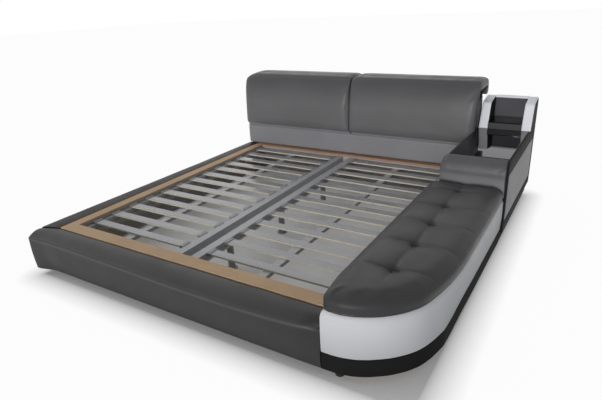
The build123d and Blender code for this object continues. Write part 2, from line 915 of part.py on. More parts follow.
def headrest_section(top_draw, face_draw):
    # Outline in Y and Z of a headrest's pad: up the front, over the top, down the lip.
    # The top comes down by top_draw and the faces come in by face_draw.
    face = y_head - headrest_overhang + face_draw
    rear = y_head + headrest_reach - face_draw
    low = headrest_pad_low
    crown = headrest_crown - top_draw
    shoulder = y_head - front_lean + face_draw + top_draw * bend_share
    front_top = y_head + front_top_setback + face_draw
    notch = y_head + headrest_notch
    board_face = y_head + headrest_board_front - seat_gap
    board_tip = y_head + top_board_reach + seat_gap
    lip_inside = y_head + headrest_reach - lip_thickness
    board_under = headrest_top_board - seat_gap
    board_over = headrest_top_board + top_board + seat_gap
    rear_top = rear - rear_round
    points = [
        (notch, low),
        (face + bottom_round, low),
        (face + bottom_lean, low + bottom_rise),
        (shoulder, front_rise - top_draw),
        (front_top, crown - front_top_drop),
        (rear_top, crown - rear_top_drop),
        (rear, crown - rear_drop),
        (rear, lip_low + lip_round),
        (rear - lip_round, lip_low),
        (lip_inside, lip_low),
        (lip_inside, board_under),
        (board_tip, board_under),
        (board_tip, board_over),
        (board_face, board_over),
        (board_face, headrest_board_low),
        (notch, headrest_board_low),
    ]
    lip_bend = lip_round * (1 - bend_share)
    rise = front_rise - top_draw
    arcs = {
        1: (face + bottom_round * (1 - bend_share), low + bottom_rise * (1 - bend_share)),
        2: (face, (low + rise) / 2),
        3: (
            shoulder + (front_top - shoulder) * (1 - bend_share),
            rise + (crown - rise) * bend_share,
        ),
        4: (y_head + headrest_crown_setback, crown),
        5: (rear - rear_round * (1 - bend_share), crown - rear_bend_drop),
        7: (rear - lip_bend, lip_low + lip_bend),
    }
    outline_face(points, arcs)


# Each end: how far in the section stands, and how far its top and its faces draw in
outer_end_run = 130
outer_top_draw = 34
outer_face_draw = 12
outer_end_shares = ((0, 1, 1), (0.15, 0.41, 0.42), (0.46, 0.09, 0.08), (1, 0, 0))
inner_end_run = 60
inner_top_draw = 20
inner_face_draw = 9
inner_end_shares = ((0, 1, 1), (0.3, 0.3, 0.33), (1, 0, 0))


def end_steps(run, top_draw, face_draw, shares):
    return [(run * along, top_draw * top, face_draw * side) for along, top, side in shares]


def make_headrest_cushion(x_from, x_to, outer_is_left):
    # Sections run along X, drawn in at both ends, more at the rounded outer end.
    outer_steps = end_steps(outer_end_run, outer_top_draw, outer_face_draw, outer_end_shares)
    inner_steps = end_steps(inner_end_run, inner_top_draw, inner_face_draw, inner_end_shares)
    left_steps, right_steps = inner_steps, outer_steps
    if outer_is_left:
        left_steps, right_steps = outer_steps, inner_steps
    with BuildPart() as cushion:
        for step_in, top_draw, face_draw in left_steps:
            with BuildSketch(Plane.YZ.offset(x_from + step_in)):
                headrest_section(top_draw, face_draw)
        for step_in, top_draw, face_draw in right_steps[::-1]:
            with BuildSketch(Plane.YZ.offset(x_to - step_in)):
                headrest_section(top_draw, face_draw)
        loft(ruled=True)
    return cushion


gusset_count = 3
gusset_height = 52
gusset_low = headrest_top_board - gusset_height
gusset_rise = 34
end_margin = 5


def make_headrest_frame(x_from, x_to):
    # A front board and a top board, joined by gussets in the corner between them.
    front = y_head + headrest_board_front
    back = y_head + headrest_board_back
    lip_inside = y_head + headrest_reach - lip_thickness - fit_gap
    with BuildPart() as frame:
        block(x_from, x_to, front, back, headrest_board_low, headrest_top_board + top_board)
        block(
            x_from, x_to, front, y_head + top_board_reach,
            headrest_top_board, headrest_top_board + top_board,
        )
        for count in range(gusset_count):
            gusset = x_from + board + count * (x_to - x_from - 3 * board) / (gusset_count - 1)
            with BuildSketch(Plane.YZ.offset(gusset)):
                outline_face(
                    [
                        (back, gusset_low),
                        (back, headrest_top_board),
                        (lip_inside, headrest_top_board),
                        (lip_inside, gusset_low + gusset_rise),
                    ],
                    {},
                )
            extrude(amount=board)
    return frame


# Hinges: a moving knuckle between two fixed ones, on a pin, twice for each headrest
hinge_share = 0.16
knuckle_radius = 12
pin_radius = 5
running_gap = 0.05
knuckle_length = 24
fixed_knuckle_length = 12
side_play = 0.4
leaf_height = 110
plate_low = 450
plate_height = 56
pin_head_radius = 8
pin_head = 3
leaf_back = hinge_y + knuckle_radius
plate_face = headboard_front - sheet_steel


def knuckle(x_from, x_to):
    # A tube about the hinge axis, bored for the pin.
    length = x_to - x_from
    with BuildSketch(Plane.YZ.offset(x_from)) as ring:
        with Locations((hinge_y, hinge_z)):
            Circle(knuckle_radius)
    extrude(ring.sketch, amount=length)


def bore(x_from, x_to):
    # The pin's hole along the hinge axis.
    with BuildSketch(Plane.YZ.offset(x_from)) as hole:
        with Locations((hinge_y, hinge_z)):
            Circle(pin_radius + running_gap)
    extrude(hole.sketch, amount=x_to - x_from, mode=Mode.SUBTRACT)


def hinge_places(x_from, x_to):
    return [x_from + (x_to - x_from) * share for share in (hinge_share, 1 - hinge_share)]


def make_moving_leaves(x_from, x_to):
    with BuildPart() as leaves:
        for place in hinge_places(x_from, x_to):
            near = place - knuckle_length / 2
            far = place + knuckle_length / 2
            knuckle(near, far)
            block(near, far, leaf_back - sheet_steel, leaf_back, hinge_z, headrest_board_low + leaf_height)
            bore(near - overrun, far + overrun)
    return leaves


headrest_spans = (
    ("left", x_outer + seat_gap, headrest_split - headrest_gap / 2),
    ("right", headrest_split + headrest_gap / 2, headrest_right_end),
)
for side_name, rest_from, rest_to in headrest_spans:
    cushion = make_headrest_cushion(rest_from, rest_to, side_name == "left")
    keep(cushion, f"headrest_{side_name}_cushion")
    frame = make_headrest_frame(rest_from + end_margin, rest_to - end_margin)
    keep(frame, f"headrest_{side_name}_frame")
    keep(make_moving_leaves(rest_from, rest_to), f"headrest_{side_name}_hinge_leaves")

with BuildPart() as hinge_fixed_leaves:
    for side_name, rest_from, rest_to in headrest_spans:
        for place in hinge_places(rest_from, rest_to):
            inner_edge = knuckle_length / 2 + side_play
            outer_edge = inner_edge + fixed_knuckle_length
            block(
                place - outer_edge, place + outer_edge,
                plate_face, headboard_front, plate_low, plate_low + plate_height,
            )
            for near, far in ((-outer_edge, -inner_edge), (inner_edge, outer_edge)):
                knuckle(place + near, place + far)
                block(
                    place + near, place + far, leaf_back - sheet_steel, plate_face,
                    hinge_z - sheet_steel / 2, hinge_z + sheet_steel / 2,
                )
                bore(place + near - side_play, place + far + side_play)
keep(hinge_fixed_leaves, "hinge_fixed_leaves")

with BuildPart() as hinge_pins:
    for side_name, rest_from, rest_to in headrest_spans:
        for place in hinge_places(rest_from, rest_to):
            reach = knuckle_length / 2 + side_play + fixed_knuckle_length + side_play
            with BuildSketch(Plane.YZ.offset(place - reach)):
                with Locations((hinge_y, hinge_z)):
                    Circle(pin_radius)
            extrude(amount=reach + reach)
            for head_from in (place - reach - pin_head, place + reach):
                with BuildSketch(Plane.YZ.offset(head_from)):
                    with Locations((hinge_y, hinge_z)):
                        Circle(pin_head_radius)
                extrude(amount=pin_head)
keep(hinge_pins, "hinge_pins")

# Corner brackets inside the rails, and their screws
bracket_leg = 45
bracket_plate = 4
bracket_low = 60
bracket_height = 100
screw_radius = 2.5
screw_length = 15
screw_head_radius = 5
screw_head = 3
screw_height_shares = (0.25, 0.75)
bracket_corners = (
    (x_left, y_foot, 1, 1),
    (x_right, y_foot, -1, 1),
    (x_left, low_front, 1, -1),
    (x_right, low_front, -1, -1),
)

with BuildPart() as corner_brackets:
    for corner_x, corner_y, to_x, to_y in bracket_corners:
        top = bracket_low + bracket_height
        block(
            corner_x, corner_x + to_x * bracket_leg,
            corner_y, corner_y + to_y * bracket_plate, bracket_low, top,
        )
        block(
            corner_x, corner_x + to_x * bracket_plate,
            corner_y, corner_y + to_y * bracket_leg, bracket_low, top,
        )
        for share in screw_height_shares:
            hole_z = bracket_low + share * bracket_height
            middle = (bracket_leg + bracket_plate) / 2
            with Locations((corner_x + to_x * middle, corner_y + to_y * bracket_plate / 2, hole_z)):
                Cylinder(
                    screw_radius + running_gap, bracket_plate * 2,
                    rotation=(90, 0, 0), mode=Mode.SUBTRACT,
                )
            with Locations((corner_x + to_x * bracket_plate / 2, corner_y + to_y * middle, hole_z)):
                Cylinder(
                    screw_radius + running_gap, bracket_plate * 2,
                    rotation=(0, 90, 0), mode=Mode.SUBTRACT,
                )
keep(corner_brackets, "corner_brackets")

with BuildPart() as bracket_screws:
    for corner_x, corner_y, to_x, to_y in bracket_corners:
        for share in screw_height_shares:
            screw_z = bracket_low + share * bracket_height
            middle = (bracket_leg + bracket_plate) / 2
            shank = screw_length + bracket_plate
            shank_middle = bracket_plate - shank / 2
            head_middle = bracket_plate + screw_head / 2
            for radius, length, depth in (
                (screw_radius, shank, shank_middle),
                (screw_head_radius, screw_head, head_middle),
            ):
                with Locations((corner_x + to_x * middle, corner_y + to_y * depth, screw_z)):
                    Cylinder(radius, length, rotation=(90, 0, 0))
                with Locations((corner_x + to_x * depth, corner_y + to_y * middle, screw_z)):
                    Cylinder(radius, length, rotation=(0, 90, 0))
keep(bracket_screws, "bracket_screws")

# Feet: short tapered glides under every box of the bed
foot_radius = 20
foot_top_radius = 24
foot_inset = 45
seat_foot_share = 0.25
rail_foot_y = y_foot - rail_board / 2
rail_foot_x = x_left - rail_board / 2
seat_foot_y = y_foot + seat_foot_share * mattress_length
foot_places = [
    (x_outer + cover_wrap + foot_inset, rail_foot_y),
    (x_middle, rail_foot_y),
    (x_right - foot_inset, rail_foot_y),
    (rail_foot_x, y_middle),
    (rail_foot_x, y_head - foot_inset),
    (x_right + foot_inset + board, seat_front + foot_inset),
    (seat_outer - foot_inset - board, seat_foot_y),
    (seat_outer - foot_inset - board, console_face - foot_inset),
    (seat_inside + foot_inset, seat_foot_y),
    (left_inside + foot_inset, front_board_back + foot_inset),
    (side_inside - foot_inset, front_board_back + foot_inset),
    (left_inside + foot_inset, back_board_face - foot_inset),
    (side_inside - foot_inset, back_board_face - foot_inset),
    (frame_left + foot_inset, headboard_back - headboard_board / 2),
    (x_middle, headboard_back - headboard_board / 2),
    (frame_right - foot_inset, headboard_back - headboard_board / 2),
]
with BuildPart() as feet:
    for foot_x, foot_y in foot_places:
        with BuildSketch(Plane.XY):
            with Locations((foot_x, foot_y)):
                Circle(foot_radius)
        with BuildSketch(Plane.XY.offset(ground_gap)):
            with Locations((foot_x, foot_y)):
                Circle(foot_top_radius)
        loft()
keep(feet, "feet")
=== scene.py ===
import bmesh
import bpy
import json
import numpy as np
from math import cos, sin, pi, radians
from mathutils import Matrix, Vector


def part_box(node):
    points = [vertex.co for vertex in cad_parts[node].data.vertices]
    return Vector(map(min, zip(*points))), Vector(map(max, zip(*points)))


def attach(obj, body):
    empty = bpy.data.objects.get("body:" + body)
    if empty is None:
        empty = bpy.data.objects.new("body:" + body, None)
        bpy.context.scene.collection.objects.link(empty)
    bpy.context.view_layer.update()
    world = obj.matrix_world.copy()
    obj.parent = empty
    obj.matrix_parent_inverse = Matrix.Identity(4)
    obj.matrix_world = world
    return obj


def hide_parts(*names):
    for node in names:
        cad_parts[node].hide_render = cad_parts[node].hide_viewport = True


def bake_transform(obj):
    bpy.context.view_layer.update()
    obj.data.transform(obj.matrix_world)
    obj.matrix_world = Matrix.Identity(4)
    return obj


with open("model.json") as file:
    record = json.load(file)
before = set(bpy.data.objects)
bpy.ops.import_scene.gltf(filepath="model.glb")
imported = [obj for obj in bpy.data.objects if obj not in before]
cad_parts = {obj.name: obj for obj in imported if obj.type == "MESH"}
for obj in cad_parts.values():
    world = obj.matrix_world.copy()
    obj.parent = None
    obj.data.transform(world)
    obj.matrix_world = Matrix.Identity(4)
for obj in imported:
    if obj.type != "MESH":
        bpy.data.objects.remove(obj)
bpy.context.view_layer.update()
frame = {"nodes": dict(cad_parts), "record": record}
nodes = frame["nodes"]
print("stage: frame loaded,", len(nodes), "nodes")


shot = {
    "place": (1.5703, -2.6124, 1.4388),
    "turn": 0.5626,       # left of +Y, in radians
    "dip": -0.3810,
    "tilt": -0.0500,
    "lens": 29.667,
}


def aimCamera():
    # The camera's three axes come from its turn, dip and tilt.
    turn, dip, tilt = shot["turn"], shot["dip"], shot["tilt"]
    ahead = np.array([-sin(turn) * cos(dip), cos(turn) * cos(dip), sin(dip)])
    level = np.array([cos(turn), sin(turn), 0.0])
    upright = np.cross(level, ahead)
    across = cos(tilt) * level + sin(tilt) * upright
    above = -sin(tilt) * level + cos(tilt) * upright
    matrix = np.eye(4)
    matrix[:3] = np.stack([across, above, -ahead, shot["place"]], -1)
    data = bpy.data.cameras.new("photoCamera")
    data.lens, data.sensor_width = shot["lens"], 36.0
    data.clip_start, data.clip_end = 0.05, 100.0
    camera = bpy.data.objects.new("photoCamera", data)
    bpy.context.scene.collection.objects.link(camera)
    camera.matrix_world = Matrix(matrix.tolist())
    bpy.context.scene.camera = camera


aimCamera()
bpy.context.scene.view_settings.view_transform = "Standard"


class Sock:
    # A node's output that can be used in sums; each sum adds a Math node.
    def __init__(self, shade, socket):
        self.shade, self.socket = shade, socket

    def maths(self, kind, *others):
        return self.shade.node("ShaderNodeMath", {"operation": kind}, dict(enumerate((self,) + others)))

    def __add__(self, other):
        return self.maths("ADD", other)

    def __mul__(self, other):
        return self.maths("MULTIPLY", other)

    def __sub__(self, other):
        return self.maths("SUBTRACT", other)

    def __rsub__(self, other):
        return self * -1.0 + other

    __radd__, __rmul__ = __add__, __mul__

    def ramp(self, low, high, atLow=0.0, atHigh=1.0):
        return self.shade.node("ShaderNodeMapRange", {"clamp": True},
                               {0: self, 1: low, 2: high, 3: atLow, 4: atHigh})


class Shade:
    # The node tree of one material, or of the world where that is given as owner.
    def __init__(self, name, owner=None):
        self.owner = owner or bpy.data.materials.new(name)
        self.owner.use_nodes = True
        self.tree, self.place = self.owner.node_tree, None
        self.tree.nodes.clear()

    @property
    def coords(self):
        # The object's own coordinates, from one node made at the first use.
        if self.place is None:
            self.place = self.node("ShaderNodeTexCoord", output="Object")
        return self.place

    def node(self, kind, settings=None, inputs=None, output=0):
        # Settings go on first, then values or links go to the sockets.
        made = self.tree.nodes.new(kind)
        for key, value in (settings or {}).items():
            setattr(made, key, value)
        for key, value in (inputs or {}).items():
            if isinstance(value, Sock):
                self.tree.links.new(value.socket, made.inputs[key])
            else:
                made.inputs[key].default_value = value
        return None if output is None else Sock(self, made.outputs[output])

    def mix(self, factor, first, second):
        return self.node("ShaderNodeMix", {"data_type": "RGBA"}, {0: factor, 6: first, 7: second}, 2)

    def noise(self, scale, detail=3.0, rough=0.5, stretch=None):
        where = self.coords
        if stretch is not None:
            where = self.node("ShaderNodeMapping", None, {"Vector": where, "Scale": stretch})
        inputs = {"Vector": where, "Scale": scale, "Detail": detail, "Roughness": rough}
        return self.node("ShaderNodeTexNoise", None, inputs)

    def split(self, axis):
        return self.node("ShaderNodeSeparateXYZ", None, {0: self.coords}, axis)

    def bump(self, height, distance, strength=1.0, under=None):
        inputs = {"Height": height, "Distance": distance, "Strength": strength}
        if under is not None:
            inputs["Normal"] = under
        return self.node("ShaderNodeBump", None, inputs)

    def rays(self, *names):
        # 1 for the rays named, 0 for the rest.
        total = self.node("ShaderNodeLightPath", output=names[0])
        for name in names[1:]:
            total = total.maths("MAXIMUM", self.node("ShaderNodeLightPath", output=name))
        return total

    def surface(self, **inputs):
        # The finish itself; names are the sockets' own, with spaces taken out.
        names = {"BaseColor": "Base Color", "SpecularIORLevel": "Specular IOR Level"}
        shader = self.node("ShaderNodeBsdfPrincipled", None, {names.get(k, k): v for k, v in inputs.items()})
        self.node("ShaderNodeOutputMaterial", None, {0: shader}, None)
        return self.owner


def tint(colour, share=1.0, plus=0.0):
    # An opaque colour: each channel times share, and a little more.
    return tuple(np.minimum(np.multiply(colour, share) + plus, 1.0)) + (1.0,)


hide = {
    "cellScale": 620.0, "cellSmooth": 0.6, "cellStrength": 0.45,
    "unevenScale": 9.0, "unevenDepth": 0.0012, "unevenStrength": 0.35,
    "cloudScale": 2.2, "glossDown": 0.04, "glossUp": 0.05,
    # the colours that the painted shade and the painted highlight mix in
    "paintedShadeTone": (0.02, 0.02, 0.022), "paintedHighlightTone": (0.11, 0.11, 0.112),
}


def leather(name, colour, wander=0.10, roughness=0.44, grain=0.00012, shine=0.20, paintedShade=None, paintedHighlight=None):
    # Pebble grain: the edges of small cells stand low, over a slower unevenness. wander is the tone's drift.
    # The next-to-last argument gives two heights and the share by which the leather is darker at the second
    # one: painted shade. The last argument gives the height of an edge, how far a paler tone fades from it,
    # and the share of that tone at the edge: a painted highlight.
    shade = Shade(name)
    cells = shade.node("ShaderNodeTexVoronoi", {"feature": "SMOOTH_F1"},
                       {"Vector": shade.coords, "Scale": hide["cellScale"], "Smoothness": hide["cellSmooth"]},
                       "Distance")
    uneven = shade.noise(hide["unevenScale"], 4.0)
    cloud = shade.noise(hide["cloudScale"], 2.0)
    tone = shade.mix(cloud.ramp(0.35, 0.65), tint(colour, 1 - wander), tint(colour, 1 + wander))
    if paintedShade:
        # painted shade: the leather grows darker towards the second height
        start, end, share = paintedShade
        tone = shade.mix(shade.split(2).ramp(start, end, 0.0, share), tone, tint(hide["paintedShadeTone"]))
    if paintedHighlight:
        # painted highlight: a paler tone in a band about the edge's height, broken up a little by the
        # unevenness
        edge, fade, share = paintedHighlight
        highlightShare = (shade.split(2) - edge).maths("ABSOLUTE").ramp(0.0, fade, share, 0.0)
        tone = shade.mix(highlightShare * uneven.ramp(0.2, 0.6, 0.7, 1.0), tone, tint(hide["paintedHighlightTone"]))
    relief = shade.bump(cells, grain, hide["cellStrength"])
    relief = shade.bump(uneven, hide["unevenDepth"], hide["unevenStrength"], relief)
    sheen = uneven.ramp(0.3, 0.7, roughness - hide["glossDown"], roughness + hide["glossUp"])
    return shade.surface(BaseColor=tone, Roughness=sheen, Normal=relief, SpecularIORLevel=shine)


def timber(name, colour, dark, along, ringScale=26.0, roughness=0.6):
    # Grain drawn out along one axis, with fine pores.
    shade = Shade(name)
    stretch = [1.0, 1.0, 1.0]
    stretch["xyz".index(along)] = 0.06
    rings = shade.noise(ringScale, 5.0, 0.6, tuple(stretch))
    pores = shade.noise(ringScale * 14, 2.0, 0.5, tuple(stretch))
    tone = shade.mix(rings.ramp(0.32, 0.68), tint(colour), tint(dark))
    return shade.surface(BaseColor=tone, Roughness=roughness, Normal=shade.bump(pores, 0.0003, 0.4))


board = {"deep": (0.44, 0.290, 0.160), "pale": (0.52, 0.350, 0.205), "dust": (0.73, 0.54, 0.35)}


def fibreboard(name, share=(1.0, 1.0, 1.0)):
    # Tan board: fine fibres, slow blotches, and a little dust where it is pale. share darkens every tone.
    shade = Shade(name)
    deep, pale, dust = (tint(board[tone], share) for tone in ("deep", "pale", "dust"))
    fibres = shade.noise(420.0, 2.0)
    blotch = shade.noise(5.5, 4.0)
    tone = shade.mix(blotch.ramp(0.35, 0.68), deep, pale)
    tone = shade.mix(fibres.ramp(0.4, 0.75, 0.0, 0.25), tone, dust)
    return shade.surface(BaseColor=tone, Roughness=0.66, Normal=shade.bump(fibres, 0.0002, 0.4))


slat = {
    "top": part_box("slats_left")[1].z, "foilThick": 0.0012, "foilEdge": 0.0004,
    "foil": ((0.26, 0.262, 0.27), (0.34, 0.343, 0.35)), "smear": (0.50, 0.505, 0.51),
    "bare": ((0.66, 0.61, 0.51), (0.56, 0.49, 0.38)), "bareRough": 0.7, "foilRough": (0.2, 0.42),
}


def slatFinish(name):
    # Grey foil over the top of a slat, and pale bare wood on its sides.
    shade = Shade(name)
    foilShare = shade.split(2).ramp(slat["top"] - slat["foilThick"], slat["top"] - slat["foilEdge"])
    streaks = shade.noise(30.0, 4.0, 0.6, (0.05, 1.0, 1.0))
    smears = shade.noise(2.6, 4.0, 0.55)
    foil, bare = (shade.mix(streaks.ramp(0.3, 0.7), tint(first), tint(second))
                  for first, second in (slat["foil"], slat["bare"]))
    foil = shade.mix(smears.ramp(0.5, 0.75, 0.0, 0.35), foil, tint(slat["smear"]))
    sheen = shade.node("ShaderNodeMix", {"data_type": "FLOAT"},
                       {0: foilShare, 2: slat["bareRough"], 3: smears.ramp(0.35, 0.7, *slat["foilRough"])})
    return shade.surface(BaseColor=shade.mix(foilShare, bare, foil), Roughness=sheen,
                         Normal=shade.bump(streaks, 0.0004, 0.3))


def metal(name, colour, metallic, roughness, wear=0.1):
    # Even metal or paint with faint blotches in its tone and scuffs in its shine.
    shade = Shade(name)
    blotch = shade.noise(14.0, 5.0)
    scuff = shade.noise(160.0, 3.0)
    tone = shade.mix(blotch.ramp(0.35, 0.65), tint(colour, 1 - wear), tint(colour))
    sheen = scuff.ramp(0.35, 0.7, roughness - 0.06, roughness + 0.1)
    return shade.surface(BaseColor=tone, Metallic=metallic, Roughness=sheen,
                         Normal=shade.bump(scuff, 0.0001, 0.3))


def gloss(name, colour, roughness, marks=0.02, shine=0.5):
    # Lacquer, plastic or back-painted glass: even colour with faint wipe marks in the shine.
    shade = Shade(name)
    wipe = shade.noise(18.0, 4.0, 0.6, (1.0, 0.35, 1.0))
    haze = wipe.ramp(0.4, 0.75, roughness, roughness + marks)
    tone = shade.mix(wipe.ramp(0.4, 0.8), tint(colour), tint(colour, 1.25, 0.001))
    return shade.surface(BaseColor=tone, Roughness=haze, SpecularIORLevel=shine)


leathers = {
    "darkLeather": {"colour": (0.042, 0.042, 0.044)},
    # darker than the dark leather as painted shade on the foot rail, with a painted highlight along its ridge
    "railLeatherPaintedShadeAndHighlight": {"colour": (0.031, 0.0305, 0.030), "paintedHighlight": (0.2335, 0.014, 0.6)},
    # much darker than the dark leather as painted shade on the left rail
    "sideLeatherPaintedShade": {"colour": (0.018, 0.0177, 0.0174), "roughness": 0.46, "shine": 0.13},
    # darker than the dark leather as painted shade on the console's side border and the arms' sides
    "borderLeatherPaintedShade": {"colour": (0.016, 0.016, 0.0165), "roughness": 0.60, "shine": 0.04},
    # far lighter than the dark leather as painted light on the console's front pad, darker towards the roll's
    # top as painted shade
    "padLeatherPaintedLightAndShade": {"colour": (0.180, 0.181, 0.190), "roughness": 0.45, "paintedShade": (0.40, 0.50, 0.60)},
    # lighter than the dark leather as painted light on the back of the console's compartment
    "insetLeatherPaintedLight": {"colour": (0.064, 0.064, 0.072)},
    # darkest of all, as painted shade on the plinths low by the floor
    "plinthLeather": {"colour": (0.014, 0.014, 0.014), "roughness": 0.68, "shine": 0.03},
    # the headrests grow darker towards their tops as painted shade
    "headboardLeather": {"colour": (0.125, 0.125, 0.129), "wander": 0.06, "roughness": 0.42,
                         "paintedShade": (0.66, 0.885, 0.64)},
    # lighter than the headboard leather as painted light on the band under the headrests, in the pads' shade
    "bandLeatherPaintedLight": {"colour": (0.215, 0.217, 0.230), "wander": 0.05, "roughness": 0.42, "shine": 0.24},
    "whiteLeather": {"colour": (0.76, 0.77, 0.81), "wander": 0.02, "roughness": 0.42,
                     "grain": 0.00008, "shine": 0.25},
    # darker than the white leather, and darker still towards the band's foot, as painted shade on the seat's
    # band
    "seatWhitePaintedShade": {"colour": (0.66, 0.665, 0.69), "wander": 0.02, "roughness": 0.45,
                  "grain": 0.00008, "shine": 0.12, "paintedShade": (0.27, 0.12, 0.24)},
    # much darker than the white leather as painted shade on the console's side panel
    "panelWhitePaintedShade": {"colour": (0.43, 0.43, 0.438), "wander": 0.02, "roughness": 0.5,
                   "grain": 0.00008, "shine": 0.06},
}
finishes = {name: leather(name, **look) for name, look in leathers.items()}
finishes.update({
    "tanBoard": fibreboard("tanBoard"),
    # darker, redder tan as painted shade on the ledge by the headboard
    "paintedShadeBoard": fibreboard("paintedShadeBoard", (0.64, 0.53, 0.56)),
    "plywood": timber("plywood", (0.56, 0.42, 0.27), (0.44, 0.31, 0.19), "x"),
    "dullPly": timber("dullPly", (0.42, 0.40, 0.37), (0.33, 0.31, 0.28), "x"),
    "darkPly": timber("darkPly", (0.046, 0.044, 0.042), (0.030, 0.029, 0.028), "x"),
    "pine": timber("pine", (0.42, 0.41, 0.395), (0.34, 0.33, 0.31), "x", 18.0),
    # pale as painted light on the centre beam, in the shade between the slat frames
    "paintedLightBeam": timber("paintedLightBeam", (0.80, 0.80, 0.80), (0.72, 0.71, 0.69), "y", 18.0),
    "slatFoil": slatFinish("slatFoil"),
    "greySteel": metal("greySteel", (0.40, 0.405, 0.42), 0.0, 0.42),
    "zincSteel": metal("zincSteel", (0.55, 0.56, 0.58), 1.0, 0.35, 0.2),
    "blackGlass": gloss("blackGlass", (0.006, 0.006, 0.008), 0.015, 0.015, 0.32),
    "blackLacquer": gloss("blackLacquer", (0.010, 0.010, 0.012), 0.07),
    "blackPlastic": gloss("blackPlastic", (0.02, 0.02, 0.021), 0.4, 0.1, 0.3),
    "capPlastic": gloss("capPlastic", (0.24, 0.243, 0.25), 0.42, 0.1, 0.3),
})
# each slot's finishes; the first one is what the frame's own pieces get
finishesOfSlot = {
    "dark_leather": ("darkLeather", "railLeatherPaintedShadeAndHighlight", "sideLeatherPaintedShade", "borderLeatherPaintedShade",
                     "padLeatherPaintedLightAndShade", "insetLeatherPaintedLight", "plinthLeather"),
    "headboard_leather": ("headboardLeather", "bandLeatherPaintedLight"),
    "white_leather": ("whiteLeather", "seatWhitePaintedShade", "panelWhitePaintedShade"),
    "tan_board": ("tanBoard", "paintedShadeBoard"),
    "plywood": ("plywood", "dullPly", "darkPly"),
    "pine": ("pine", "paintedLightBeam"),
    "slat_foil": ("slatFoil",),
    "grey_steel": ("greySteel",),
    "zinc_steel": ("zincSteel",),
    "black_glass": ("blackGlass",),
    "black_lacquer": ("blackLacquer",),
    "black_plastic": ("blackPlastic", "capPlastic"),
}
# pieces of the frame that look unlike the rest of their slot
ownFinish = {
    # the centre beam is pale as painted light in the shade between the slat frames; the console's back board
    # is lighter as painted light
    "slat_holders": "capPlastic", "centre_beam": "paintedLightBeam", "console_back_board": "insetLeatherPaintedLight",
    "left_rail_board": "dullPly", "foot_rail_board": "dullPly", "headboard_frame": "dullPly",
    "headrest_left_frame": "darkPly", "headrest_right_frame": "darkPly",
    # the ledge by the headboard is darker as painted shade
    "console_left_side": "darkPly", "console_right_side": "darkPly", "ledge_head": "paintedShadeBoard",
}
for part in frame["record"]["subparts"]:
    mesh = nodes[part["node"]].data
    mesh.materials.clear()
    mesh.materials.append(finishes[ownFinish.get(part["node"], finishesOfSlot[part["material_slot"]][0])])
print("stage: finishes ready")


def meshPiece(name, points, faces, finish, body, replaced=()):
    # points is an (n, 3) array and faces an (m, 4) array of corner numbers.
    mesh = bpy.data.meshes.new(name)
    mesh.from_pydata(points.tolist(), [], [tuple(dict.fromkeys(f)) for f in faces.tolist()])
    mesh.validate()
    mesh.polygons.foreach_set("use_smooth", np.ones(len(mesh.polygons), bool))
    mesh.materials.append(finishes[finish])
    made = bpy.data.objects.new(name, mesh)
    bpy.context.scene.collection.objects.link(made)
    if body:
        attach(made, body)
    if replaced:
        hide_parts(*replaced)
    return made


def crisp(made, degrees):
    # Keeps the shading flat across edges sharper than this.
    made.data.set_sharp_from_angle(angle=radians(degrees))
    return made


def weld(made, distance=1e-5):
    # Merges doubles and turns every face outwards.
    work = bmesh.new()
    work.from_mesh(made.data)
    bmesh.ops.remove_doubles(work, verts=work.verts, dist=distance)
    bmesh.ops.recalc_face_normals(work, faces=work.faces)
    work.to_mesh(made.data)
    work.free()
    made.data.update()


def gridFaces(rows, columns, closedRows=False, closedColumns=False):
    # Corner numbers of a grid's faces; point (i, j) is number i * columns + j.
    i = np.arange(rows if closedRows else rows - 1)
    j = np.arange(columns if closedColumns else columns - 1)
    i, j = np.meshgrid(i, j, indexing="ij")
    nextI, nextJ = (i + 1) % rows, (j + 1) % columns
    numbers = [i * columns + j, nextI * columns + j, nextI * columns + nextJ, i * columns + nextJ]
    return np.stack(numbers, -1).reshape(-1, 4)


def corners(made):
    # Every point of a piece, as an (n, 3) array.
    co = np.empty(len(made.data.vertices) * 3, np.float32)
    made.data.vertices.foreach_get("co", co)
    return co.reshape(-1, 3).astype(float)


def setCorners(made, co):
    # Puts every point of a piece where the array says.
    made.data.vertices.foreach_set("co", co.astype(np.float32).ravel())
    made.data.update()


def rise(value, start, reach):
    # 0 up to start, 1 from start + reach on, and straight between them.
    return np.clip((value - start) / reach, 0, 1)


def bell(gap, width, power=2):
    # 1 where gap is 0, fading on both sides: e to the power of -(gap / width) ** power.
    return np.exp(-(gap / width) ** power)


def runAlong(points):
    # How far along a polyline each of its points lies.
    return np.concatenate([[0], np.cumsum(np.linalg.norm(np.diff(points, axis=0), axis=1))])


def resample(points, count, sharp=()):
    # Points spaced evenly along a polyline; closed if the first point is repeated.
    along = runAlong(points)
    wanted = np.linspace(0, along[-1], count)
    for corner in sharp:                      # a corner keeps its own point
        wanted[np.argmin(np.abs(wanted - along[corner]))] = along[corner]
    return np.stack([np.interp(wanted, along, points[:, k]) for k in range(points.shape[1])], -1)


def arcThrough(start, middle, end, count):
    # Points of the circle through three points, start and end included: its centre is as far from all three.
    (ax, ay), (bx, by), (cx, cy) = start, middle, end
    aa, bb, cc = ax**2 + ay**2, bx**2 + by**2, cx**2 + cy**2
    d = 2 * (ax * (by - cy) + bx * (cy - ay) + cx * (ay - by))
    ux = (aa * (by - cy) + bb * (cy - ay) + cc * (ay - by)) / d
    uy = (aa * (cx - bx) + bb * (ax - cx) + cc * (bx - ax)) / d
    radius = np.hypot(ax - ux, ay - uy)
    turns = np.unwrap([np.arctan2(y - uy, x - ux) for x, y in (start, middle, end)])
    swing = np.linspace(turns[0], turns[2], count)
    return np.stack([ux + radius * np.cos(swing), uy + radius * np.sin(swing)], -1)


def arcAt(originX, originY, points, count):
    # The arc through three points that are given from an origin.
    return arcThrough(*(np.array(points) + (originX, originY)), count)


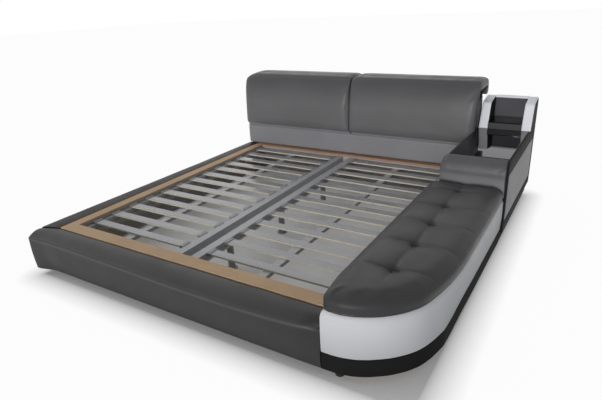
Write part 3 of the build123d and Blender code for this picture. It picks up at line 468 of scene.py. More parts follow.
def outline(*parts):
    # Joins points and runs of points into one polyline without doubles.
    joined = np.concatenate([np.atleast_2d(np.asarray(p, float)) for p in parts])
    keep = np.concatenate([[True], np.linalg.norm(np.diff(joined, axis=0), axis=1) > 1e-7])
    return joined[keep]


def lump(x, y, seed, size=1.0):
    # A slow, fixed unevenness from -1 to 1: the mean of eight sine waves with drawn directions.
    draw = np.random.default_rng(seed)
    total = np.zeros(np.broadcast(x, y).shape)
    for wave in range(8):
        angle = draw.uniform(0, 2 * pi)
        length = draw.uniform(0.06, 0.4) * size
        phase = draw.uniform(0, 2 * pi)
        total += np.sin((x * np.cos(angle) + y * np.sin(angle)) * 2 * pi / length + phase)
    return total / 8


def placed(sections, across, axis=0):
    # Sections of one length, each set at its own place along an axis: point (i, j) is section i's point j.
    rings = np.insert(np.array(sections), axis, 0.0, axis=2)
    rings[..., axis] = np.asarray(across)[:, None]
    return rings


def carried(profile, across):
    # One profile in Y and Z repeated at every place along X.
    return placed([profile] * len(across), across)


def blended(first, second, shares):
    # Lines between two lines: first + (second - first) * share.
    return first + (second - first) * shares[:, None, None]


def rounded(gap, run, power):
    # How far a rounded end has come in at this gap from it: a superellipse from 1 at the end to 0 at run.
    return 1 - (1 - rise(run - gap, 0, run) ** power) ** 0.5


def capped(rings):
    # Rings of a closed skin, and five more at each end that shrink to its middle.
    first, last = rings[0], rings[-1]
    shrink = np.linspace(0.8, 0.0, 5)[:, None, None]
    startCap = first.mean(0) + (first - first.mean(0)) * shrink[::-1]
    endCap = last.mean(0) + (last - last.mean(0)) * shrink
    return np.concatenate([startCap, rings, endCap])


def joinedPiece(name, grids, finish, body, replaced=(), rows=False, columns=False, distance=1e-5):
    # Several grids of points in one piece, their doubles merged. rows and columns say which way a grid
    # closes: one value for all the grids, or one for each.
    points, faces, first = [], [], 0
    for grid, *closed in zip(grids, *(np.broadcast_to(flags, len(grids)) for flags in (rows, columns))):
        points.append(grid.reshape(-1, 3))
        faces.append(gridFaces(*grid.shape[:2], *closed) + first)
        first += len(points[-1])
    made = meshPiece(name, np.concatenate(points), np.concatenate(faces), finish, body, replaced)
    weld(made, distance)
    return made


def tubePiece(name, rings, finish, replaced, sharp=50.0):
    # A closed skin from rings, with flat shading across sharp edges if an angle is given.
    made = joinedPiece(name, [capped(rings)], finish, "bed", replaced, columns=True)
    return crisp(made, sharp) if sharp else made


def subdivideNow(made):
    # One level of subdivision, made part of the mesh, so that finer folds can follow.
    modifier = made.modifiers.new("smooth", "SUBSURF")
    modifier.levels = modifier.render_levels = 1
    ready = bpy.data.meshes.new_from_object(made.evaluated_get(bpy.context.evaluated_depsgraph_get()))
    made.modifiers.remove(modifier)
    old, made.data = made.data, ready
    ready.name = made.name
    bpy.data.meshes.remove(old)


stuffing = {"quality": 5, "mass": 0.4, "stiffness": 12.0, "shear": 6.0, "bending": 2.0, "frames": 20}


def inflate(made, pressure, cap, pinned):
    # Lets Cloth blow the closed skin up a little, held where pinned, then caps how far each point has gone.
    before = corners(made)
    group = made.vertex_groups.new(name="pinned")
    group.add(np.flatnonzero(pinned).tolist(), 1.0, "REPLACE")
    cloth = made.modifiers.new("cloth", "CLOTH")
    settings = cloth.settings
    settings.quality = stuffing["quality"]
    settings.mass = stuffing["mass"]
    settings.tension_stiffness = settings.compression_stiffness = stuffing["stiffness"]
    settings.shear_stiffness = stuffing["shear"]
    settings.bending_stiffness = stuffing["bending"]
    settings.use_pressure = True
    settings.uniform_pressure_force = pressure
    settings.effector_weights.gravity = 0.0
    settings.vertex_group_mass = "pinned"
    scene = bpy.context.scene
    for step in range(1, stuffing["frames"] + 1):
        scene.frame_set(step)
    blown = made.evaluated_get(bpy.context.evaluated_depsgraph_get())
    after = np.empty(before.size, np.float32)
    blown.to_mesh().vertices.foreach_get("co", after)
    blown.to_mesh_clear()
    made.modifiers.remove(cloth)
    scene.frame_set(1)
    made.vertex_groups.clear()
    moved = after.reshape(-1, 3) - before
    length = np.linalg.norm(moved, axis=1, keepdims=True)
    setCorners(made, before + moved * np.minimum(1.0, cap / np.maximum(length, 1e-9)))


mattress = {"left": -1.060, "right": 0.740, "foot": -1.105, "head": 0.895}
rails = {
    "foot": {
        "width": 0.1497, "taper": 0.040, "ridge": 0.2320, "shoulder": 0.2450, "edgeRound": 0.0125,
        # pairs give where a change starts and over what reach it grows
        "bowOut": (0.05, 0.06), "bowUp": (0.02, 0.19),
        "flareEnd": (1.02, 0.13), "flareOut": (0.05, 0.05), "flareDown": 0.19,
        "tuck": 0.018, "tuckX": (0.66, 0.08), "tuckUp": (0.20, 0.03), "tuckOut": (0.06, 0.03),
        "middle": (0.075, 0.15), "halfHeight": 0.115,
        "swayUp": 0.0009, "swayOut": 0.0010, "swayFace": 0.09, "swayStop": 0.05, "swayFade": 0.1,
        "weltIn": 0.1335, "weltHeight": 0.0016, "weltWidth": 0.0040,
    },
    "left": {
        "width": 0.0999, "taper": 0.008, "ridge": 0.2585, "shoulder": 0.2675, "edgeRound": 0.0095,
        "flare": 0.022, "flareOut": (0.04, 0.05), "flareFrom": 0.2, "flareRun": 1.2,
        "mitreGap": 0.0012, "headLap": 0.0045, "sway": 0.0008,
    },
    "crown": 0.268, "edge": 0.262, "inner": 0.0003, "topUp": (0.2, 0.06),
    "low": 0.033, "toeRound": 0.018, "board": 0.0253, "boardTop": 0.2403,
    "gap": 0.0006, "end": -1.1780, "endRound": 0.008, "mitre": 0.35, "endFlare": 0.022,
    # how far the foot rail's ridge stands in from its full width, along the rail
    "ridgeX": (-1.16, -0.90, -0.45, 0.00, 0.30, 0.52, 0.66, 0.715, 0.740),
    "ridgeIn": (0.012, 0.018, 0.010, 0.000, 0.000, 0.008, 0.020, 0.034, 0.044),
}


def railSection(kind):
    # A rail's cover as distance out and height: a top that slopes to a crisp ridge, a face leaning in.
    r, k = rails, rails[kind]
    width, ridge, shoulder, turn = k["width"], k["ridge"], k["shoulder"], k["edgeRound"]
    inner, edge, low, toeRound = r["inner"], r["edge"], r["low"], r["toeRound"]
    toe, toeTop = width - k["taper"], low + toeRound
    topStart, topEnd = (0.010, edge + 0.0015), (width - turn, shoulder)
    bottom = np.linspace(toe - toeRound, r["board"], 7)[1:]
    return outline(
        (inner, r["boardTop"]), (inner, edge - 0.014),
        arcThrough((inner, edge - 0.008), (0.003, edge - 0.002), topStart, 8),
        arcThrough(topStart, (width * 0.42, r["crown"] - 0.10 * (r["crown"] - shoulder)), topEnd, 15),
        arcThrough(topEnd, (width - turn * 0.26, ridge + (shoulder - ridge) * 0.70), (width, ridge), 9),
        arcThrough((width, ridge), (width - k["taper"] * 0.40, (ridge + low) / 2 + 0.004), (toe, toeTop), 15),
        arcThrough((toe, toeTop), (toe - toeRound * 0.29, low + toeRound * 0.29), (toe - toeRound, low), 7),
        np.stack([bottom, 0 * bottom + low], -1), (r["board"], r["boardTop"]), (inner, r["boardTop"]))


def ridgeIn(x):
    # How far the foot rail's ridge stands in at x.
    return np.interp(x, rails["ridgeX"], rails["ridgeIn"])


def makeFootRail():
    # The section runs straight along the foot. Its ridge bows out in the middle and draws back at both ends,
    # and past the mattress corner its inner side follows the mitre.
    r, k, m = rails, rails["foot"], mattress
    section = railSection("foot")
    turns = np.linspace(0, pi / 2, 6)
    tip = r["end"] + r["endRound"] * (1 - np.sin(turns))
    along = np.concatenate([np.linspace(m["right"] - r["gap"], m["left"], 110),
                            np.linspace(m["left"], tip[0], 12)[1:], tip[1:]])[:, None]
    shrink = np.concatenate([np.zeros(len(along) - len(turns)), r["endRound"] * (1 - np.cos(turns))])[:, None]
    out, height = (np.repeat(section[None, :, axis], len(along), 0) for axis in (0, 1))
    out -= rise(out, *k["bowOut"]) * rise(height, *k["bowUp"]) * ridgeIn(along)
    flare = rise(-along, *k["flareEnd"]) ** 1.5 * rise(out, *k["flareOut"])
    out += r["endFlare"] * flare * rise(k["ridge"] - height, 0, k["flareDown"])
    tuck = k["tuck"] * rise(along, *k["tuckX"]) ** 2
    height -= tuck * rise(height, *k["tuckUp"]) * rise(out, *k["tuckOut"])
    joint = np.maximum(m["left"] - along, 0) * r["mitre"]
    out = joint + out * (k["width"] - joint) / k["width"]
    middleOut, middleUp = k["middle"]
    out += (middleOut - out) * shrink / middleOut
    height += (middleUp - height) * shrink / k["halfHeight"]
    rings = np.stack(np.broadcast_arrays(along, m["foot"] - out, height), -1)
    x, y, z = np.moveaxis(rings, -1, 0)
    top = rise(z, *r["topUp"])
    sway = lump(x, z * 2, 3, 2.0)
    z += k["swayUp"] * top * sway
    onFace = (y < m["foot"] - k["swayFace"]) * rise(m["right"] - x, k["swayStop"], k["swayFade"])
    y -= k["swayOut"] * sway * onFace
    # a soft welt just behind the ridge
    z += k["weltHeight"] * bell(y - (m["foot"] - k["weltIn"] + ridgeIn(x)), k["weltWidth"]) * top
    return tubePiece("footRail", rings, "railLeatherPaintedShadeAndHighlight", ["foot_rail_cover"])


def makeLeftRail():
    # The section runs straight from the mitre to the headboard, and flares out towards the foot.
    r, k, m = rails, rails["left"], mattress
    section = railSection("left")
    flare = k["flare"] * rise(section[:, 0], *k["flareOut"])
    start = m["foot"] + k["mitreGap"] - (section[:, 0] + flare) * r["mitre"]
    along = start + (m["head"] + k["headLap"] - start) * np.linspace(0, 1, 90)[:, None]
    out = section[:, 0] + flare * rise(k["flareFrom"] - along, 0, k["flareRun"])
    rings = np.stack(np.broadcast_arrays(m["left"] - out, along, section[:, 1]), -1)
    x, y, z = np.moveaxis(rings, -1, 0)
    z += k["sway"] * rise(z, *r["topUp"]) * lump(y, x, 5, 2.0)
    return tubePiece("leftRail", rings, "sideLeatherPaintedShade", ["left_rail_cover"])


makeFootRail()
makeLeftRail()
print("stage: rails made")


seat = {
    "inner": 0.740, "outer": 1.150, "front": -1.205, "back": 0.265,
    "noseRadius": 0.333, "sideRadius": 1.524, "noseTurn": radians(75), "spacing": 0.012, "gap": 0.0006,
    # along the plan, how far the plinth and the band's foot stand out from it, fading up to flareTop
    "flareRun": (0.0, 0.15, 0.24, 0.33, 0.42, 0.50, 0.60, 0.69, 0.77, 0.85, 1.10, 1.70),
    "flareOut": (0.0, -0.003, -0.006, -0.002, 0.006, 0.011, 0.0115, 0.001, -0.007, -0.010, -0.007, -0.004),
    "flareTop": 0.31, "flareFade": 0.19,
}


def seatCentres():
    # The centres of the plan's nose arc and side arc, which meet at noseTurn in one direction.
    s = seat
    nose, side, turn = s["noseRadius"], s["sideRadius"], s["noseTurn"]
    noseX = s["outer"] - nose * sin(turn) - side * (1 - sin(turn))
    noseY = s["front"] + nose
    return noseX, noseY, noseX + (nose - side) * sin(turn), noseY - (nose - side) * cos(turn)


def seatEdge():
    # The seat's outer plan from its front left corner to the console, with outward directions:
    # a straight front, the nose arc, the side arc and a straight side.
    s = seat
    nose, side, turn = s["noseRadius"], s["sideRadius"], s["noseTurn"]
    noseX, noseY, sideX, sideY = seatCentres()

    def steps(start, end, radius=1.0):
        return np.linspace(start, end, int(radius * (end - start) / s["spacing"]) + 2)

    run = steps(s["inner"], noseX)[:-1]
    pieces = [np.stack([run, 0 * run + s["front"], 0 * run, 0 * run - 1], -1)]
    for x, y, radius, start, end in ((noseX, noseY, nose, 0, turn), (sideX, sideY, side, turn, pi / 2)):
        turns = steps(start, end, radius)[:-1]
        outX, outY = np.sin(turns), -np.cos(turns)
        pieces.append(np.stack([x + radius * outX, y + radius * outY, outX, outY], -1))
    run = steps(sideY, s["back"])
    pieces.append(np.stack([0 * run + s["outer"], run, 0 * run + 1, 0 * run], -1))
    every = np.concatenate(pieces)
    return every[:, :2], every[:, 2:]


def carryAlongSeat(profile):
    # A closed profile of (distance in, height) carried along the seat's plan.
    s = seat
    edge, out = seatEdge()
    edge[0, 0] += s["gap"]
    edge[-1, 1] -= s["gap"]
    flare = np.interp(runAlong(edge), s["flareRun"], s["flareOut"])[:, None]
    flare = flare * rise(s["flareTop"] - profile[:, 1], 0, s["flareFade"])
    place = edge[:, None, :] + out[:, None, :] * (flare - profile[:, 0])[..., None]
    height = np.broadcast_to(profile[None, :, 1:], place.shape[:2] + (1,))
    return np.concatenate([place, height], -1)


seatBand = {
    "low": 0.1152, "top": 0.3145, "boardTop": 0.308, "back": 0.0135,
    # arcs as points of (distance in, height), from the band's top or its foot
    "lip": ((0.0245, -0.0015), (0.0200, 0.0), (0.0150, -0.0012)),
    "shoulder": ((0.0150, -0.0012), (0.0060, -0.0115), (0.0012, -0.0340)),
    "belly": (-0.0012, -0.012), "toe": ((0.0016, 0.008), (0.004, 0.002), (0.010, 0.0)),
    # the dip of its top at the left end
    "dip": 0.010, "dipRun": 0.016, "dipUp": (0.25, 0.06),
}


def makeSeatBand():
    # White padded band: slight belly; its top rolls in under the cushion and dips at the left end.
    b = seatBand
    low, top, back = b["low"], b["top"], (b["back"], b["boardTop"] + 0.0004)
    shoulder = arcAt(0, top, b["shoulder"], 12)
    toe = arcAt(0, low, b["toe"], 7)
    belly = (b["belly"][0], (low + top) / 2 + b["belly"][1])
    profile = outline(
        back, (0.0240, b["boardTop"] + 0.0006), (0.0245, top - 0.0015), arcAt(0, top, b["lip"], 5), shoulder,
        arcThrough(shoulder[-1], belly, toe[0], 14), toe, (b["back"], low), back)
    rings = carryAlongSeat(profile)
    z = rings[..., 2]
    start = rise(b["dipRun"] - runAlong(rings[:, 0, :2]), 0, b["dipRun"])[:, None]
    z -= b["dip"] * start ** 2 * rise(z, *b["dipUp"])
    return tubePiece("seatBand", rings, "seatWhitePaintedShade", ["chaise_band"])


seatPlinth = {
    # heights, then distances in from the plan
    "low": 0.033, "top": 0.1146, "bevel": 0.002, "toeHeight": 0.004,
    "back": 0.0140, "step": 0.0050, "face": 0.0028, "belly": 0.0016, "toe": 0.0020, "under": (0.0034, 0.0090),
}


def makeSeatPlinth():
    # Black plinth under the band: an almost upright face with small rounded edges.
    p = seatPlinth
    low, top = p["low"], p["top"]
    toe = (p["toe"], low + p["toeHeight"])
    face = arcThrough((p["face"], top - p["bevel"]), (p["belly"], (low + top) / 2), toe, 6)
    profile = outline(
        (p["back"], top), (p["step"], top), face,
        *((inward, low) for inward in p["under"]), (p["back"], low), (p["back"], top))
    return tubePiece("seatPlinth", carryAlongSeat(profile), "plinthLeather", ["chaise_plinth"], 38.0)


cushion = {
    "inner": 0.7105, "back": 0.2638, "low": 0.3084, "crown": 0.396, "belly": 0.343,
    "inset": 0.005, "frontGap": 0.0015, "cornerRadius": 0.052, "rows": 150, "columns": 44,
    "topRun": 0.100, "topPower": 2.6, "topRoot": 2.3, "lowRun": 0.017, "lowPower": 2.4,
    "crownDrop": 0.003, "crownRun": 0.19, "lift": 0.0066, "liftFrom": (0.02, 0.03),
    "pressure": 4.0, "stuffed": 0.005, "pinRise": 0.003,
    # the nose draws in on its left, from this far to the front and this far to the left
    "noseDraw": 0.020, "noseY": (0.98, 0.20), "noseX": (0.90, 0.16),
    "buttonX": 0.9245, "buttonYs": (-0.890, -0.639, -0.388, -0.137, 0.114),
    "dishDepth": 0.009, "dishReach": 0.075, "holeDepth": 0.020, "holeReach": 0.019,
    "creaseDepth": 0.0075, "creaseReach": 0.0085, "valleyDepth": 0.0035, "valleyReach": 0.035,
    "waveAcross": 0.010, "waveAlong": 0.005, "creaseHalf": 0.24, "sway": 0.0010,
    # how far the right side hangs out over the band, along Y
    "hangY": (-1.205, -1.10, -0.98, -0.85, -0.60, 0.26),
    "hangOut": (0.0, 0.006, 0.014, 0.014, 0.011, 0.010), "hangReach": 0.09,
}


def seatDistance(x, y, front, back):
    # Distance in from the cushion's plan edge: the least over its sides, nose and side arcs.
    nose, side, turn = seat["noseRadius"], seat["sideRadius"], seat["noseTurn"]
    radius = cushion["cornerRadius"]
    noseX, noseY, sideX, sideY = seatCentres()
    fromNose = nose - np.hypot(x - noseX, y - noseY)
    fromSide = side - np.hypot(x - sideX, y - sideY)
    onNose = (y < noseY) & (np.arctan2(x - noseX, noseY - y) < turn)
    curved = np.where(onNose, fromNose, np.where(y < sideY, fromSide, seat["outer"] - x))
    curved = np.where(x > noseX, curved, 1.0) - cushion["inset"]
    left, rear, first = x - cushion["inner"], back - y, np.minimum(y - front, curved)
    near = np.minimum.reduce([left, rear, first])
    for one, two in ((left, first), (left, rear), (rear, curved)):      # the corners are rounded
        inside = (one < radius) & (two < radius)
        near = np.where(inside, np.minimum(near, radius - np.hypot(radius - one, radius - two)), near)
    return near


def eased(count, share):
    # Shares from 0 to 1, closer together at both ends: t - share * sin(2 pi t) / (2 pi).
    even = np.linspace(0, 1, count)
    return even - share * np.sin(2 * pi * even) / (2 * pi)


def makeSeatCushion():
    # Upper and lower skin over one grid in plan. The height over the belly line is a superellipse of the
    # distance from the edge, up to the crown and down to the base, and both skins meet at the edge.
    s, c = seat, cushion
    front = s["front"] + c["inset"] + c["frontGap"]
    ends = front - 1e-4, c["back"] + 1e-4
    y = (front + (c["back"] - front) * eased(c["rows"], 0.9))[:, None]
    probe = np.linspace(c["inner"], s["outer"], 1200)
    inside = seatDistance(*np.broadcast_arrays(probe, y), *ends) >= 0
    left = probe[np.argmax(inside, 1)][:, None]
    right = probe[len(probe) - 1 - np.argmax(inside[:, ::-1], 1)][:, None]
    x, y = np.broadcast_arrays(left + (right - left) * eased(c["columns"], 0.85), y)
    rim = np.ones(x.shape, bool)
    rim[1:-1, 1:-1] = False
    distance = np.where(rim, 0, np.maximum(seatDistance(x, y, *ends), 0))
    over = 1 - rise(distance, 0, c["topRun"])
    under = 1 - rise(distance, 0, c["lowRun"])
    crown = c["crown"] - c["crownDrop"] * (1 - rise(distance, 0, c["crownRun"]))
    top = c["belly"] + (crown - c["belly"]) * (1 - over ** c["topPower"]) ** (1 / c["topRoot"])
    low = c["belly"] - (c["belly"] - c["low"]) * (1 - under ** c["lowPower"]) ** (1 / c["lowPower"])
    low = np.maximum(low, c["low"] + c["lift"] * rise(x - c["inner"], *c["liftFrom"]))
    draw = rise(-y, *c["noseY"]) ** 1.4 * rise(c["noseX"][0] - x, 0, c["noseX"][1])
    hang = (1 - rise(right - x, 0, c["hangReach"])) ** 2
    x = x + c["noseDraw"] * draw + np.interp(y, c["hangY"], c["hangOut"]) * hang
    upper, lower = np.stack([x, y, top], -1), np.stack([x, y, np.where(rim, top, low)], -1)
    points = np.concatenate([upper.reshape(-1, 3), lower.reshape(-1, 3)])
    faces = gridFaces(*x.shape)
    faces = np.concatenate([faces[:, ::-1], faces + x.size])
    made = meshPiece("seatCushion", points, faces, "darkLeather", "bed", ["chaise_cushion"])
    weld(made, 2e-5)
    onBase = corners(made)[:, 2] < c["low"] + c["lift"] + c["pinRise"]
    inflate(made, c["pressure"], c["stuffed"], pinned=onBase)
    subdivideNow(made)
    setCorners(made, sunkTop(corners(made)))
    return made


def sunkTop(co):
    # A tuft is a wide dish with a narrow hole in it; creases run between the tufts and out to both sides,
    # each a thin line in a shallow valley. Everything fades out down the cushion's side.
    c = cushion
    x, y, z = co.T
    onTop = rise(z, c["belly"], c["crown"] - c["belly"]) ** 1.6
    sink = np.zeros(len(co))

    def creased(away, fade, depth):
        line, valley = bell(away, c["creaseReach"], 1.2), bell(away, c["valleyReach"])
        return fade * (depth * line + c["valleyDepth"] * valley)

    for number, buttonY in enumerate(c["buttonYs"]):
        gap = np.hypot(x - c["buttonX"], y - buttonY)
        sink += c["dishDepth"] * bell(gap, c["dishReach"]) + c["holeDepth"] * bell(gap, c["holeReach"], 2.2)
        away = np.abs(y - buttonY - c["waveAcross"] * np.sin((x - c["buttonX"]) * 13 + number * 1.7))
        fade = np.clip(1.08 - np.abs(x - c["buttonX"]) / c["creaseHalf"], 0, 1) ** 0.8
        sink += creased(away, fade, c["creaseDepth"])
    away = np.abs(x - c["buttonX"] - c["waveAlong"] * np.sin(y * 9))
    fade = rise(y, c["buttonYs"][0] - 0.13, 0.10) * rise(c["back"] - 0.02 - y, 0, 0.05)
    sink += creased(away, fade, c["creaseDepth"] * 0.8)
    z = z - sink * onTop + c["sway"] * lump(x, y, 11) * onTop
    return np.stack([x, y, np.maximum(z, c["low"])], -1)


button = {
    "around": 24, "sink": 0.031,
    # radius and height of the dome's profile
    "radii": (0.0, 0.006, 0.0112, 0.0118, 0.0105, 0.0070, 0.0030, 0.0),
    "heights": (0.0, 0.0, 0.0008, 0.0026, 0.0052, 0.0074, 0.0082, 0.0084),
}


def makeButtons():
    # Each button is a covered dome turned about its middle, sunk into its tuft.
    c, b = cushion, button
    turns = np.linspace(0, 2 * pi, b["around"], endpoint=False)
    radii, heights = np.array(b["radii"])[:, None], np.array(b["heights"])[:, None]
    domes = [np.stack([c["buttonX"] + radii * np.cos(turns), y + radii * np.sin(turns),
                       c["crown"] - b["sink"] + heights + 0 * turns], -1) for y in c["buttonYs"]]
    made = joinedPiece("seatButtons", domes, "darkLeather", "bed", ["chaise_buttons"], columns=True)
    return made


makeSeatBand()
makeSeatPlinth()
makeSeatCushion()
makeButtons()
print("stage: side seat made")


headrests = {
    "spans": {"left": (-1.1594, -0.1473), "right": (-0.1427, 0.8120)},
    # how far in from the end the pad starts to draw in, and how far its top, face and lip come in there
    "leftEnd": {"run": 0.140, "top": 0.060, "face": 0.038, "rear": 0.012},
    "rightEnd": {"run": 0.050, "top": 0.014, "face": 0.016, "rear": 0.003},
    "splitEnd": {"run": 0.070, "top": 0.024, "face": 0.020, "rear": 0.006},
    "low": 0.4500, "crown": 0.8845, "lipLow": 0.7545, "boardRight": 0.8017, "endPower": 2.3,
    # places in Y from the mattress's head end
    "face": -0.0442, "rear": 0.2995, "top": 0.135, "inside": 0.2352, "boardFace": 0.0296, "boardTip": 0.2680,
    "boardLow": 0.4895, "boardTop": 0.8155, "boardUnder": 0.7994,
    "frontFoot": 0.060, "frontRun": 0.108, "frontDrop": 0.003, "frontPowers": (1.12, 0.80),
    # points as (Y, Z) from the notch's end and foot, the rear top corner, and the lip's lower corners
    "notch": ((0.0245, 0.0055), (0.008, 0.0050), (-0.004, 0.0040)),
    "rearTop": ((-0.045, -0.013), (-0.0132, -0.020), (0.0, -0.040)),
    "lipRound": ((0.0, 0.018), (-0.0053, 0.0053), (-0.018, 0.0)),
    "lipEdge": ((0.006, 0.0), (0.0, 0.004)),
    "flare": 0.015, "flareZ": (0.56, 0.22), "flareX": (0.69, 0.12),
    "pinFront": 0.0235, "pinRear": 0.2685, "pinTop": 0.8165, "pinLow": 0.012,
    "sway": 0.0020, "swayFrom": 0.02, "swayFade": 0.03,
    "seamDrop": 0.022, "seamWidth": 0.0030, "seamFrom": 0.055, "seamFade": 0.02,
    "seamIn": 0.0018, "seamDown": 0.0010, "pressure": 3.0, "stuffed": 0.004,
}


def headrestLines(topDraw, faceDraw, rearDraw):
    # Outer and inner lines of the pad in Y and Z, from the notch under the front to the lip's underside.
    # The front is a quarter of a superellipse: upright low down, and rolling back more and more to the top.
    head, h = mattress["head"], headrests
    face, rear = head + h["face"] + faceDraw, head + h["rear"] - rearDraw
    low, crown, lipLow, inside = h["low"], h["crown"] - topDraw, h["lipLow"], head + h["inside"]
    frontTop = max(head + 0.030, face + h["frontRun"] - 2.2 * faceDraw)
    start = low + h["frontFoot"]
    turn = np.linspace(0, pi / 2, 30)
    powerOut, powerUp = h["frontPowers"]
    front = np.stack([face + (frontTop - face) * (1 - np.cos(turn) ** powerOut),
                      start + (crown - h["frontDrop"] - start) * np.sin(turn) ** powerUp], -1)
    under = max(head - 0.014, face + 0.014)
    rearTop = arcAt(rear, crown, h["rearTop"], 6)
    outer = outline(
        np.array(h["notch"]) + (head, low), (under, low),
        arcThrough((under, low), (face + (under - face) * 0.26, low + 0.012), (face + 0.0008, low + 0.040),
                   9), front, arcThrough(front[-1], (head + h["top"], crown), rearTop[0], 9), rearTop,
        arcAt(rear, lipLow, h["lipRound"], 5), np.array(h["lipEdge"]) + (inside, lipLow))
    boardFace, boardTip = head + h["boardFace"], head + h["boardTip"]
    inner = outline(
        (head + 0.0245, low + 0.008), (head + 0.0247, h["boardLow"]), (boardFace, h["boardLow"] + 0.0002),
        (boardFace, h["boardTop"]), (boardTip, h["boardTop"]), (boardTip, h["boardUnder"]),
        (inside, h["boardUnder"]), (inside, lipLow + 0.008))
    return resample(outer, 66), resample(inner, 66)


def makeHeadrest(side, seed):
    # Sections of the pad along X. Both ends draw in along a rounded curve, and a strip closes each end.
    h, head = headrests, mattress["head"]
    start, end = h["spans"][side]
    leftEnd, rightEnd = (h["leftEnd"], h["splitEnd"]) if side == "left" else (h["splitEnd"], h["rightEnd"])
    near = np.linspace(0, 1, 16)[:-1] ** 1.7 * 0.14
    across = start + (end - start) * np.concatenate([near, np.linspace(0.14, 0.86, 56), 1 - near[::-1]])
    pull = rounded(across - start, leftEnd["run"], h["endPower"])
    push = rounded(end - across, rightEnd["run"], h["endPower"])
    draws = np.stack([leftEnd[key] * pull + rightEnd[key] * push for key in ("top", "face", "rear")], -1)
    sections = [headrestLines(*draw) for draw in draws]
    rings = placed([np.concatenate([outer, inner[::-1]]) for outer, inner in sections], across)
    rings[..., 0] += h["flare"] * (rise(rings[..., 2], *h["flareZ"]) * rise(rings[..., 0], *h["flareX"]) ** 2)
    half = rings.shape[1] // 2
    ends = [blended(ring[:half], ring[half:][::-1], np.linspace(0, 1, 7)) for ring in (rings[0], rings[-1])]
    made = joinedPiece(f"headrest{side.capitalize()}", [rings] + ends, "headboardLeather", f"headrest_{side}",
                       [f"headrest_{side}_cushion"], columns=(True, False, False), distance=2e-5)
    x, y, z = corners(made).T
    onBoard = (y > head + h["pinFront"]) & (y < head + h["pinRear"]) & (z < h["pinTop"])
    inflate(made, h["pressure"], h["stuffed"], pinned=onBoard | (z < h["low"] + h["pinLow"]))
    subdivideNow(made)
    co = corners(made)
    x, y, z = co.T
    y += h["sway"] * rise(head + h["swayFrom"] - y, 0, h["swayFade"]) * lump(x, z, seed, 1.3)
    # a sewn seam where the front panel meets the top panel
    seam = bell(z - (h["crown"] - h["seamDrop"]), h["seamWidth"])
    seam *= rise(head + h["seamFrom"] - y, 0, h["seamFade"])
    y += h["seamIn"] * seam
    z -= h["seamDown"] * seam
    setCorners(made, co)
    return made


def shrunkLoop(loop, amount):
    # Each corner of a closed loop moved in along the mean normal of its two sides.
    before, after = np.roll(loop, 1, 0), np.roll(loop, -1, 0)
    along = after - before
    normal = np.stack([along[:, 1], -along[:, 0]], -1)
    normal /= np.maximum(np.linalg.norm(normal, axis=1, keepdims=True), 1e-9)
    area = np.sum(loop[:, 0] * after[:, 1] - after[:, 0] * loop[:, 1])
    return loop - normal * amount * (1 if area > 0 else -1)


def slab(name, loop, start, end, radius, finish, replaced=(), axis=0, between=10):
    # A closed loop carried straight along one axis, its two end edges rounded by radius.
    turns = np.linspace(0, pi / 2, 5)
    inward, out = radius * (1 - np.sin(turns)), radius * (1 - np.cos(turns))
    middle = np.linspace(start + radius, end - radius, between)[1:-1]
    places = np.concatenate([start + out, middle, end - out[::-1]])
    insets = np.concatenate([inward, 0 * middle, inward[::-1]])
    rings = placed([shrunkLoop(loop, inset) for inset in insets], places, axis)
    return tubePiece(name, rings, finish, replaced)


def strip(name, points, thick, finish, body, replaced=()):
    # An open grid of points given a thickness behind its outer side.
    made = meshPiece(name, points.reshape(-1, 3), gridFaces(*points.shape[:2]), finish, body, replaced)
    modifier = made.modifiers.new("thickness", "SOLIDIFY")
    modifier.thickness = thick
    modifier.offset = -1.0
    return made


flap = {
    "low": 0.4335, "high": 0.4560, "foot": 0.9040, "lean": 0.0060, "bulge": 0.0020,
    "gaps": (0.004, 0.003), "thick": 0.0015,
}


def makeHeadrestFlap(side):
    # Leather flap that closes the fold under a headrest, from the band's front edge up to the pad: it leans
    # forward and bulges back by half a sine wave.
    start, end = headrests["spans"][side]
    across = np.linspace(start + flap["gaps"][0], min(end, headrests["boardRight"]) - flap["gaps"][1], 60)
    up = np.linspace(0, 1, 7)
    y = flap["foot"] - flap["lean"] * up + flap["bulge"] * np.sin(up * pi)
    profile = np.stack([y, flap["low"] + (flap["high"] - flap["low"]) * up], -1)
    points = np.swapaxes(carried(profile, across), 0, 1)
    made = strip(f"headrestFlap{side.capitalize()}", points, flap["thick"], "bandLeatherPaintedLight", None)
    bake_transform(made)
    return made


lining = {
    "low": 0.492, "lipLow": 0.744, "gap": 0.0015, "thick": 0.001,
    "sag": 0.001, "sagFrom": 0.07, "sagTo": 0.22,
    # the two bends as (Y from the mattress's head end, Z)
    "frontBend": ((0.0490, 0.780), (0.054, 0.7935), (0.068, 0.7985)),
    "rearBend": ((0.222, 0.7985), (0.2295, 0.794), (0.2325, 0.786)),
}


def makeHeadrestLining(side):
    # Dark lining under the top board and behind the front board, and over the boards' ends.
    n, head = lining, mattress["head"]
    start, end = headrests["spans"][side]
    front, rear = arcAt(head, 0, n["frontBend"], 6), arcAt(head, 0, n["rearBend"], 6)
    profile = resample(outline((front[0, 0], n["low"]), front, rear, (rear[-1, 0], n["lipLow"])), 40)
    across = np.linspace(start + n["gap"], min(end, headrests["boardRight"]) - n["gap"], 70)
    points = carried(profile, across)
    x, y, z = np.moveaxis(points, -1, 0)
    z -= n["sag"] * np.abs(lump(x, y * 2, 41)) * (y > head + n["sagFrom"]) * (y < head + n["sagTo"])
    return strip(f"headrestLining{side.capitalize()}", points, n["thick"], "darkLeather", f"headrest_{side}")


cornerPatch = {
    "face": 0.0294, "low": 0.70, "top": 0.8162, "back": 0.09,
    "reach": 0.10, "gap": 0.004, "pastBoard": 0.002, "thick": 0.0003,
}


